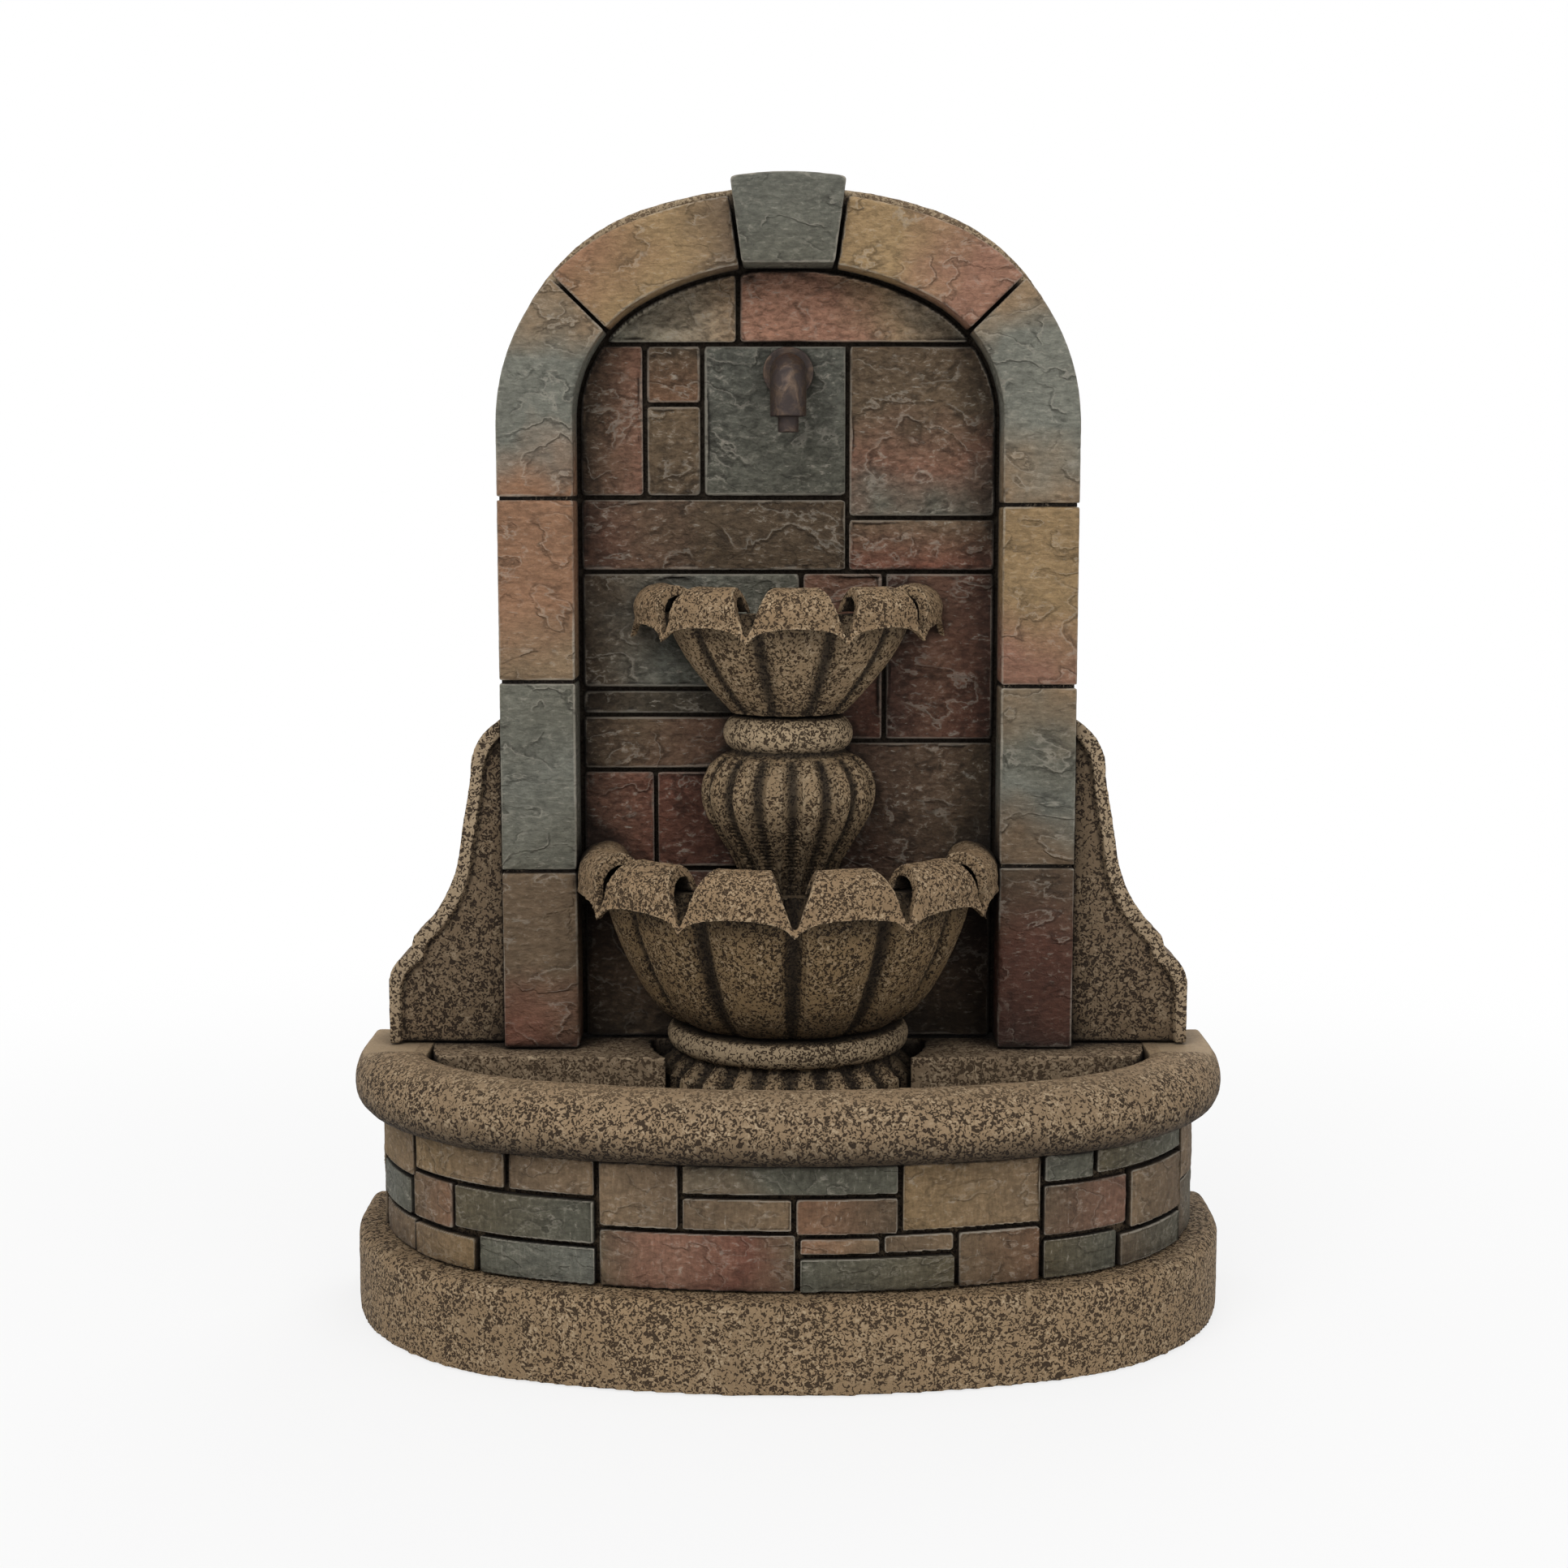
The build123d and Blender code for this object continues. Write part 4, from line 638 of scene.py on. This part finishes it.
# lobes, turn as a share of a lobe, lowest and highest point, half width of a seam, its depth
SEAMS = {
    "lower_stem": (24, 0.053, 0.100, 0.139, 0.0044, 0.0040),
    "lower_bowl": (12, 0.053, 0.150, 0.240, 0.0066, 0.0046),
    "upper_stem": (15, 0.125, 0.205, 0.299, 0.0052, 0.0034),
    "upper_bowl": (10, 0.586, 0.316, 0.380, 0.0068, 0.0036),
}
SEAM_REACH = 0.0055
CARVED_DEPTH = 0.0014
BROAD_WEAR, BROAD_LUMP = 0.0006, 0.014
FINE_WEAR, FINE_LUMP = 0.0004, 0.0038
cast = {}
for order, (node, name, cell, rounds, finish) in enumerate(CASTINGS):
    piece = copy_of(node, name)
    recast(piece, cell, rounds)
    if node in SEAMS:
        lobes, turn, foot, head, half, depth = SEAMS[node]
        share, proud = seam_share(piece, lobes, turn, foot, head, half)
        sink(piece, "seam", share * (2 - share) * proud, depth)
        # The seams between the lobes are painted dark, partly brown wash and partly painted shade in the
        # creases.
        paint(piece, "wash_and_shade", share ** 2 * (3 - 2 * share) * 0.95)
    wear(piece, lumpy, BROAD_WEAR, (BROAD_LUMP,) * 3, start=order * 0.37)
    wear(piece, lumpy, FINE_WEAR, (FINE_LUMP,) * 3, start=order * 0.53)
    mark_carved(piece, int(2 * (SEAM_REACH / cell) ** 2), CARVED_DEPTH)
    if node in SEAMS:
        spread_seam_shade(piece, 60, 0.55)
    done(piece, finish, "fountain", "cast_stone", node)
    cast[node] = piece

# %% [markdown]
# ## Painted shade, dark joints and rubbing
# Dark is also painted where no groove holds it: dark joints and painted shade behind the stones,
# painted shadow under the coping and the leaves and low on the bowls and the bulb, and a darker tone
# over the recessed fields of the wings. Rings, borders and the flat ends of the coping are rubbed
# pale, and those ends fade from pitted to smooth.

# %% Dark joints and painted shade behind the stones
RECESS_HALF = 0.114
RECESS_SPRING = 0.476
RECESS_RISE = 0.082
JOINT_WASH = 0.42
SLAB_SKIN = 0.004
TUB_MIDDLE_Y = 0.08

slab_points = points(cast["back_slab"], "co")
slab_front = slab_points[:, 1] < slab_points[:, 1].min() + SLAB_SKIN
across = slab_points[:, 0] / RECESS_HALF
above = np.maximum(slab_points[:, 2] - RECESS_SPRING, 0) / RECESS_RISE
# The slab's front inside the recess is painted dark: the joints between the wall stones, and painted shade
# in the groove beside the jambs.
paint(cast["back_slab"], "carved", slab_front & (across ** 2 + above ** 2 < 1))
tub_out = points(cast["basin_tub"], "co") * (1, 1, 0) - (0, TUB_MIDDLE_Y, 0)
tub_normals = points(cast["basin_tub"], "normal")
tub_facing = (tub_normals * tub_out).sum(axis=1) / np.linalg.norm(tub_out, axis=1)
behind_band = (tub_facing > 0.4) & (tub_normals[:, 1] < 0.5)
paint(cast["basin_tub"], "carved", JOINT_WASH * behind_band)
print("wash behind the wall stones and the band")

# %% Painted shadow under overhangs, a darker wing field, and edges rubbed pale
SEAT_START_Y = 0.004
SEAT_FADE = 0.032
NOSE_Z = 0.130
THROAT_Z = 0.116
FIELD_Y = 0.0545
# node, height where the painted shadow starts, height where it is full, its strength
OVERHANGS = (
    ("basin_coping", NOSE_Z, THROAT_Z, 0.86),
    ("lower_bowl", 0.211, 0.224, 0.72), ("lower_bowl", 0.174, 0.154, 0.75),
    ("upper_bowl", 0.354, 0.366, 0.50), ("upper_bowl", 0.334, 0.320, 0.60),
    ("upper_stem", 0.268, 0.225, 0.80),
)
# Painted shadow under the coping rim and the leaf hems, and painted shade low on the bowls and the bulb.
for node, start, full, strength in OVERHANGS:
    share = np.clip((points(cast[node], "co")[:, 2] - start) / (full - start), 0, 1)
    paint(cast[node], "wash_and_shade", share * strength)

coping_points = points(cast["basin_coping"], "co")
upward = points(cast["basin_coping"], "normal")[:, 2]
seat = np.clip((coping_points[:, 1] - SEAT_START_Y) / SEAT_FADE, 0, 1)
seat *= np.clip((upward - 0.35) / 0.45, 0, 1)
paint(cast["basin_coping"], "even", seat * 0.88)
paint(cast["basin_coping"], "even", np.clip((upward - 0.7) / 0.3, 0, 1) * 0.40)
paint(cast["basin_coping"], "rubbed", seat * 0.7)
for side in ("wing_left", "wing_right"):
    depth = points(cast[side], "co")[:, 1]
    front = points(cast[side], "normal")[:, 1] < -0.3
    # The recessed fields of the wings are painted darker and their raised borders paler.
    paint(cast[side], "wash_and_shade", 0.36 * (front & (depth > FIELD_Y)))
    paint(cast[side], "rubbed", 0.8 * (front & (depth < FIELD_Y)))
for node, foot, head in (("lower_stem", 0.140, 0.152), ("upper_stem", 0.301, 0.318)):
    height = points(cast[node], "co")[:, 2]
    paint(cast[node], "rubbed", 0.9 * ((height > foot) & (height < head)))
print("overhangs washed:", len(OVERHANGS), "smooth seat:", int((seat > 0.5).sum()), "points")

# %% [markdown]
# ## Stones of the arch
# Each stone of the arch is one colour that drifts into another along its length, as in the
# photograph: the keystone is grey-green, its neighbours ochre, and the jambs change from grey to
# orange and red towards the foot.

# %% Painting a stone
TINTS = {
    "blue_grey": srgb(121, 121, 110),
    "grey_green": srgb(112, 110, 97),
    "green": srgb(104, 102, 88),
    "olive": srgb(108, 98, 76),
    "ochre": srgb(154, 128, 92),
    "tan": srgb(142, 119, 92),
    "orange": srgb(150, 113, 86),
    "rose": srgb(146, 108, 88),
    "brown": srgb(116, 97, 76),
    "red": srgb(124, 82, 66),
    "dark_red": srgb(92, 65, 55),
}


RAGGED_SCALE = 22.0
RAGGED_SHARE = 0.22
SIDE_FADE = 0.028
FOOT_Z = 0.13
FOOT_FADE = 0.20
LEDGE_MARK = 0.0006


def tint_stone(piece, tints, along, level):
    """Paint a stone's points from tint to tint along a direction, with ragged edges."""
    shades = [Vector(TINTS[tint][:3]) * level for tint in tints]
    heights = [point.co.dot(along) for point in piece.data.vertices]
    low, span = min(heights), max(heights) - min(heights)
    last = len(shades) - 1
    colours = []
    for point, height in zip(piece.data.vertices, heights):
        ragged = noise.fractal(point.co * RAGGED_SCALE, 1.0, 2.0, 4)
        share = min(max((height - low) / span + ragged * RAGGED_SHARE, 0.0), 1.0) * last
        first = min(int(share), last - 1)
        colours.extend(shades[first].lerp(shades[first + 1], share - first))
    layer = piece.data.attributes.new("tint", "FLOAT_VECTOR", "POINT")
    layer.data.foreach_set("vector", colours)


def paint_recess_shade(piece):
    """Darken a wall stone towards the jambs and the foot: painted shade in the corners of the recess."""
    spots = points(piece, "co")
    side = np.clip((RECESS_HALF - abs(spots[:, 0])) / SIDE_FADE, 0, 1)
    rise = np.clip((spots[:, 2] - FOOT_Z) / FOOT_FADE, 0, 1)
    level = (0.42 + 0.58 * side) * (0.55 + 0.45 * rise)
    layer = piece.data.attributes["tint"]
    colours = np.empty(len(spots) * 3)
    layer.data.foreach_get("vector", colours)
    layer.data.foreach_set("vector", (colours.reshape(-1, 3) * level[:, None]).ravel())


UP = Vector((0, 0, 1))
DOWN = Vector((0, 0, -1))
LEFT = Vector((-1, 0, 0))
RIGHT = Vector((1, 0, 0))

# %% Arch stones
ARCH = {
    "keystone": (("blue_grey", "grey_green"), DOWN, 0.78),
    "arch_stone_left_1": (("brown", "ochre", "orange"), LEFT, 1.05),
    "arch_stone_left_2": (("tan", "blue_grey", "blue_grey", "orange"), DOWN, 0.98),
    "arch_stone_left_3": (("orange", "orange", "tan"), DOWN, 0.96),
    "arch_stone_left_4": (("grey_green", "blue_grey", "grey_green"), DOWN, 0.94),
    "arch_stone_left_5": (("brown", "brown", "red"), DOWN, 1.0),
    "arch_stone_right_1": (("ochre", "ochre", "rose", "rose"), RIGHT, 1.10),
    "arch_stone_right_2": (("tan", "blue_grey", "blue_grey", "tan"), DOWN, 1.05),
    "arch_stone_right_3": (("ochre", "ochre", "rose"), DOWN, 0.98),
    "arch_stone_right_4": (("tan", "grey_green", "blue_grey", "brown"), DOWN, 0.94),
    "arch_stone_right_5": (("brown", "red", "dark_red"), DOWN, 0.54),
}
ARCH_CELL = 0.0013
ARCH_CLEFT = 0.0022
for order, (node, row) in enumerate(ARCH.items()):
    piece = copy_of(node, node + "_cleft")
    recast(piece, ARCH_CELL, 2)
    front = face_group(piece, (0, -1, 0))
    wear(piece, cleft_steps, ARCH_CLEFT, (0.05, 0.05, 0.028), 14 + 31 * order, 1 + order * 0.61, front)
    wear(piece, lumpy, 0.0006, (0.007,) * 3, start=order * 0.29, group=front)
    wear(piece, lumpy, 0.0003, (0.004,) * 3, start=order * 0.29)
    mark_carved(piece, 10, LEDGE_MARK)
    tint_stone(piece, *row)
    done(piece, slate, "fountain", "slate", node)

# %% [markdown]
# ## Mortar in the bed joints, and pointing beside the ledge
# The joints between the jamb stones go right through to the outside, where the light would shine in
# from behind. A strip of dark mortar lies in each, a little behind the stones' faces. At the ends of
# the ledge the rolled inside of the coping would leave a groove, so it is filled flush. Each strip
# starts as a box and is then recast and worn like the castings.

# %% Mortar and pointing
MORTAR_BACK = 0.004
MORTAR_SIDE = 0.0012
MORTAR_BITE = 0.0005
POINTING_LOW = np.array((0.1920, 0.0262, 0.1280))
POINTING_HIGH = np.array((0.2000, 0.0920, 0.1404))
MIRROR = np.array((-1, 1, 1))


def node_box(node):
    """Lowest and highest corner of a CAD node."""
    corners = np.array(frame["nodes"][node].bound_box)
    return corners.min(axis=0), corners.max(axis=0)


strips = []
for side in ("left", "right"):
    for number in (2, 3, 4):
        above_low, _ = node_box(f"arch_stone_{side}_{number}")
        below_low, below_high = node_box(f"arch_stone_{side}_{number + 1}")
        low = below_low + (MORTAR_SIDE, MORTAR_BACK, 0)
        high = below_high - (MORTAR_SIDE, 0, 0)
        low[2], high[2] = below_high[2] - MORTAR_BITE, above_low[2] + MORTAR_BITE
        strips.append(block(low, high))
mortar = join(strips, "bed_mortar")
recast(mortar, 0.0006, 1)
wear(mortar, lumpy, 0.0003, (0.004,) * 3)
mark_carved(mortar, 6, 0.0008)
done(mortar, mortar_finish, "fountain", "cast_stone")

far_low = POINTING_LOW * MIRROR
far_high = POINTING_HIGH * MIRROR
pointing = join([block(POINTING_LOW, POINTING_HIGH),
                 block(np.minimum(far_low, far_high), np.maximum(far_low, far_high))], "ledge_pointing")
recast(pointing, 0.0009, 3)
wear(pointing, lumpy, 0.0005, (0.008,) * 3, start=0.7)
mark_carved(pointing, 20, CARVED_DEPTH)
paint(pointing, "even", 0.7)
paint(pointing, "rubbed", 0.35)
done(pointing, rim_stone, "fountain", "cast_stone")
print("mortar strips:", len(strips))

# %% [markdown]
# ## Stones of the wall and of the basin band
# These two nodes are groups of separate stones. The copy is split into its loose stones, each is
# worn and painted by itself, and they are joined again into one piece.

# %% Splitting
def split(piece):
    """The loose stones of a group, each as its own object."""
    pick(piece)
    bpy.ops.mesh.separate(type="LOOSE")
    return list(bpy.context.selected_objects)


def middle(piece):
    """Middle of a stone's box."""
    corners = [Vector(c) for c in piece.bound_box]
    return sum(corners, Vector()) / len(corners)


def nearest_tint(spot, tints):
    """The tint whose place is nearest to a spot."""
    return min(tints, key=lambda row: (Vector(row[0]) - spot).length)


# %% Wall stones
WALL_TINTS = (
    ((-0.070, 0.535), ("brown", "grey_green"), LEFT, 2.7),
    ((0.044, 0.535), ("rose", "rose", "tan", "blue_grey"), RIGHT, 1.6),
    ((-0.095, 0.475), ("brown", "rose"), RIGHT, 1.05), ((-0.061, 0.499), ("orange", "brown"), UP, 0.80),
    ((-0.061, 0.459), ("brown", "tan"), UP, 0.78),
    ((-0.007, 0.475), ("blue_grey", "grey_green"), DOWN, 0.80),
    ((0.072, 0.469), ("brown", "brown", "rose", "grey_green"), DOWN, 1.02),
    ((0.072, 0.409), ("red", "brown"), UP, 1.32),
    ((-0.040, 0.415), ("rose", "brown", "brown"), RIGHT, 0.78),
    ((-0.053, 0.363), ("brown", "blue_grey", "grey_green"), RIGHT, 0.96),
    ((-0.053, 0.325), ("brown", "grey_green"), RIGHT, 0.60), ((0.029, 0.349), ("red", "rose"), UP, 0.80),
    ((0.082, 0.349), ("red", "rose", "dark_red"), LEFT, 0.80),
    ((-0.053, 0.303), ("rose", "brown"), LEFT, 0.90),
    ((-0.092, 0.261), ("rose", "red"), RIGHT, 1.12), ((-0.032, 0.261), ("red", "dark_red"), RIGHT, 1.15),
    ((0.060, 0.262), ("dark_red", "brown"), RIGHT, 1.12),
    ((-0.053, 0.187), ("dark_red", "brown"), DOWN, 1.85),
    ((0.060, 0.180), ("dark_red", "brown"), DOWN, 1.2),
)
WALL_CELL = 0.0016
WALL_CLEFT = 0.0036
group = split(copy_of("wall_stones", "wall_stone"))
for order, stone in enumerate(group):
    spot = middle(stone)
    row = nearest_tint(Vector((spot.x, spot.z)), WALL_TINTS)
    recast(stone, WALL_CELL, 1)
    front = face_group(stone, (0, -1, 0))
    wear(stone, cleft_steps, WALL_CLEFT, (0.045, 0.05, 0.024), 27 * order, 3 + order * 0.43, front)
    wear(stone, lumpy, 0.0010, (0.007,) * 3, start=order * 0.31, group=front)
    mark_carved(stone, 10, LEDGE_MARK)
    tint_stone(stone, *row[1:])
    # Painted shade towards the jambs and the foot of the recess.
    paint_recess_shade(stone)
wall = join(group, "wall_stones_cleft")
done(wall, recess_slate, "fountain", "wall_slate", "wall_stones")

# %% Stones of the basin band
BAND_TINTS = (
    ((-0.21, 0.099), ("tan", "ochre"), LEFT, 0.82), ((-0.165, 0.102), ("tan", "ochre"), LEFT, 0.84),
    ((-0.115, 0.102), ("tan", "brown"), LEFT, 1.02), ((-0.073, 0.095), ("tan", "brown"), RIGHT, 1.02),
    ((-0.21, 0.076), ("green", "blue_grey"), LEFT, 0.86), ((-0.180, 0.078), ("orange", "tan"), LEFT, 0.72),
    ((-0.130, 0.080), ("olive", "green"), RIGHT, 0.86),
    ((0.001, 0.104), ("tan", "green", "green"), RIGHT, 0.92),
    ((-0.21, 0.056), ("tan", "brown"), LEFT, 0.84), ((-0.172, 0.056), ("tan", "ochre"), RIGHT, 0.82),
    ((-0.125, 0.057), ("green", "blue_grey"), RIGHT, 0.98),
    ((-0.045, 0.062), ("olive", "rose", "red", "brown"), RIGHT, 0.95),
    ((-0.025, 0.087), ("brown", "tan"), RIGHT, 0.90), ((0.029, 0.086), ("brown", "orange"), LEFT, 0.76),
    ((0.090, 0.095), ("tan", "ochre"), LEFT, 0.88), ((0.138, 0.105), ("green", "grey_green"), LEFT, 0.86),
    ((0.180, 0.105), ("green", "olive"), LEFT, 0.86), ((0.150, 0.083), ("brown", "rose"), RIGHT, 0.74),
    ((0.195, 0.082), ("brown", "tan"), LEFT, 0.86), ((0.025, 0.070), ("tan", "orange"), LEFT, 0.86),
    ((0.064, 0.070), ("tan", "brown"), LEFT, 0.86), ((0.043, 0.056), ("green", "olive"), RIGHT, 0.84),
    ((0.104, 0.062), ("orange", "tan"), LEFT, 0.60), ((0.147, 0.057), ("green", "olive"), LEFT, 0.82),
    ((0.192, 0.056), ("green", "brown"), LEFT, 0.86),
)
BAND_CENTRE_Y = 0.12
BAND_CELL = 0.0012
BAND_CLEFT = 0.0018
group = split(copy_of("basin_facing_stones", "band_stone"))
for order, stone in enumerate(group):
    spot = middle(stone)
    row = nearest_tint(Vector((spot.x, spot.z)), BAND_TINTS)
    recast(stone, BAND_CELL, 1)
    front = face_group(stone, Vector((spot.x, spot.y - BAND_CENTRE_Y, 0)).normalized())
    wear(stone, cleft_steps, BAND_CLEFT, (0.04, 0.04, 0.022), 23 * order, 7 + order * 0.47, front)
    wear(stone, lumpy, 0.0006, (0.006,) * 3, start=order * 0.33, group=front)
    mark_carved(stone, 10, LEDGE_MARK)
    tint_stone(stone, *row[1:])
band = join(group, "basin_stones_cleft")
done(band, band_slate, "fountain", "slate", "basin_facing_stones")

# %% [markdown]
# ## Spout, hatch and pump
# The spout is copper that has gone dark and purple-brown, rubbed golden where water and hands have
# passed. The pump and its pipes are plain moulded parts, so their CAD solids stay and only get a
# finish: fine moulding grain on the plastic, a blotchy tarnish on the brass and steel.

# %% Metal and plastic finishes
def aged_metal(name, bright, tarnish, patina):
    """Metal under a blotchy tarnish, with a dusty patina in its hollows."""
    material, shader, place = new_finish(name, {})
    blotch = place.speckle(0.009, 5.0, 0.65, 0.6).rise(0.40, 0.64)
    fine = place.speckle(0.0012, 4.0, 0.6)
    colour = blend(blotch, tarnish, bright)
    colour = blend(hollows(place, 0.010) ** 1.5, colour, patina)
    wire(shader, {"Base Color": colour, "Metallic": blotch * 0.45 + 0.45,
                  "Roughness": 0.58 - blotch * 0.22 + fine * 0.1,
                  "Normal": relief(fine * 0.5 + blotch * 0.5, 0.0003)})
    return material


def moulded(name, colour, rough, grain_size=0.0006):
    """Moulded plastic or rubber with a fine grain and faint rubbed patches."""
    material, shader, place = new_finish(name, {})
    rubbed = place.speckle(0.014, 4.0, 0.6)
    grain = place.speckle(grain_size, 2.0, 0.5)
    wire(shader, {"Base Color": shaded(colour, rubbed * 0.5 + 0.75),
                  "Roughness": rubbed * 0.18 + rough, "Normal": relief(grain, 0.00012)})
    return material


aged_copper = aged_metal("aged_copper", srgb(98, 82, 70), srgb(58, 48, 45), srgb(28, 23, 21))
brass = aged_metal("brass", srgb(190, 160, 100), srgb(128, 104, 62), srgb(70, 58, 40))
steel = aged_metal("steel", srgb(178, 180, 182), srgb(138, 140, 142), srgb(80, 80, 80))
black_plastic = moulded("black_plastic", srgb(30, 31, 33), 0.42)
grey_plastic = moulded("grey_plastic", srgb(96, 99, 102), 0.45)
clear_hose = moulded("clear_hose", srgb(168, 178, 176), 0.22)
rubber = moulded("rubber", srgb(26, 26, 27), 0.62)
ceramic = moulded("ceramic", srgb(226, 222, 212), 0.25)
magnet = moulded("magnet", srgb(52, 50, 50), 0.5)
hatch_resin = cast_stone("hatch_resin", srgb(140, 123, 99), srgb(100, 84, 66), 0.0018, 0.9)
print("metal and plastic finishes made")

# %% Spout copies
for node, name, finish, slot_name, cell in (
    ("spout_elbow", "spout_elbow_worn", aged_copper, "aged_copper", 0.0006),
    ("spout_flange", "spout_flange_worn", aged_copper, "aged_copper", 0.0006),
    ("spout_nozzle", "spout_nozzle_worn", aged_copper, "aged_copper", 0.0005),
):
    piece = copy_of(node, name)
    recast(piece, cell, 3)
    wear(piece, lumpy, 0.0003, (0.004,) * 3)
    done(piece, finish, "fountain", slot_name, node)

# %% [markdown]
# ## Pieces that stay as CAD solids
# The hatch, the pipes and the pump keep their own meshes and only get a finish each.

# %% CAD nodes that stay
KEPT = {
    "spout_pipe": aged_copper, "spout_nut": brass, "hose_elbow": black_plastic,
    "supply_hose": clear_hose, "hose_clamps": steel, "rear_hatch": hatch_resin,
    "pump_body": black_plastic, "pump_cover": black_plastic, "flow_dial": grey_plastic,
    "impeller": black_plastic, "rotor_magnet": magnet, "impeller_shaft": ceramic,
    "rear_shaft_bush": rubber, "front_shaft_bush": rubber, "suction_feet": rubber,
    "cable_grommet": rubber,
}
for node, finish in KEPT.items():
    materials = frame["nodes"][node].data.materials
    materials.clear()
    materials.append(finish)
print("CAD nodes kept with a finish:", len(KEPT))

# %% [markdown]
# ## Clearing up
# The empty that steered the wear is taken away again.

# %% Remove the chisel
bpy.data.objects.remove(chisel)
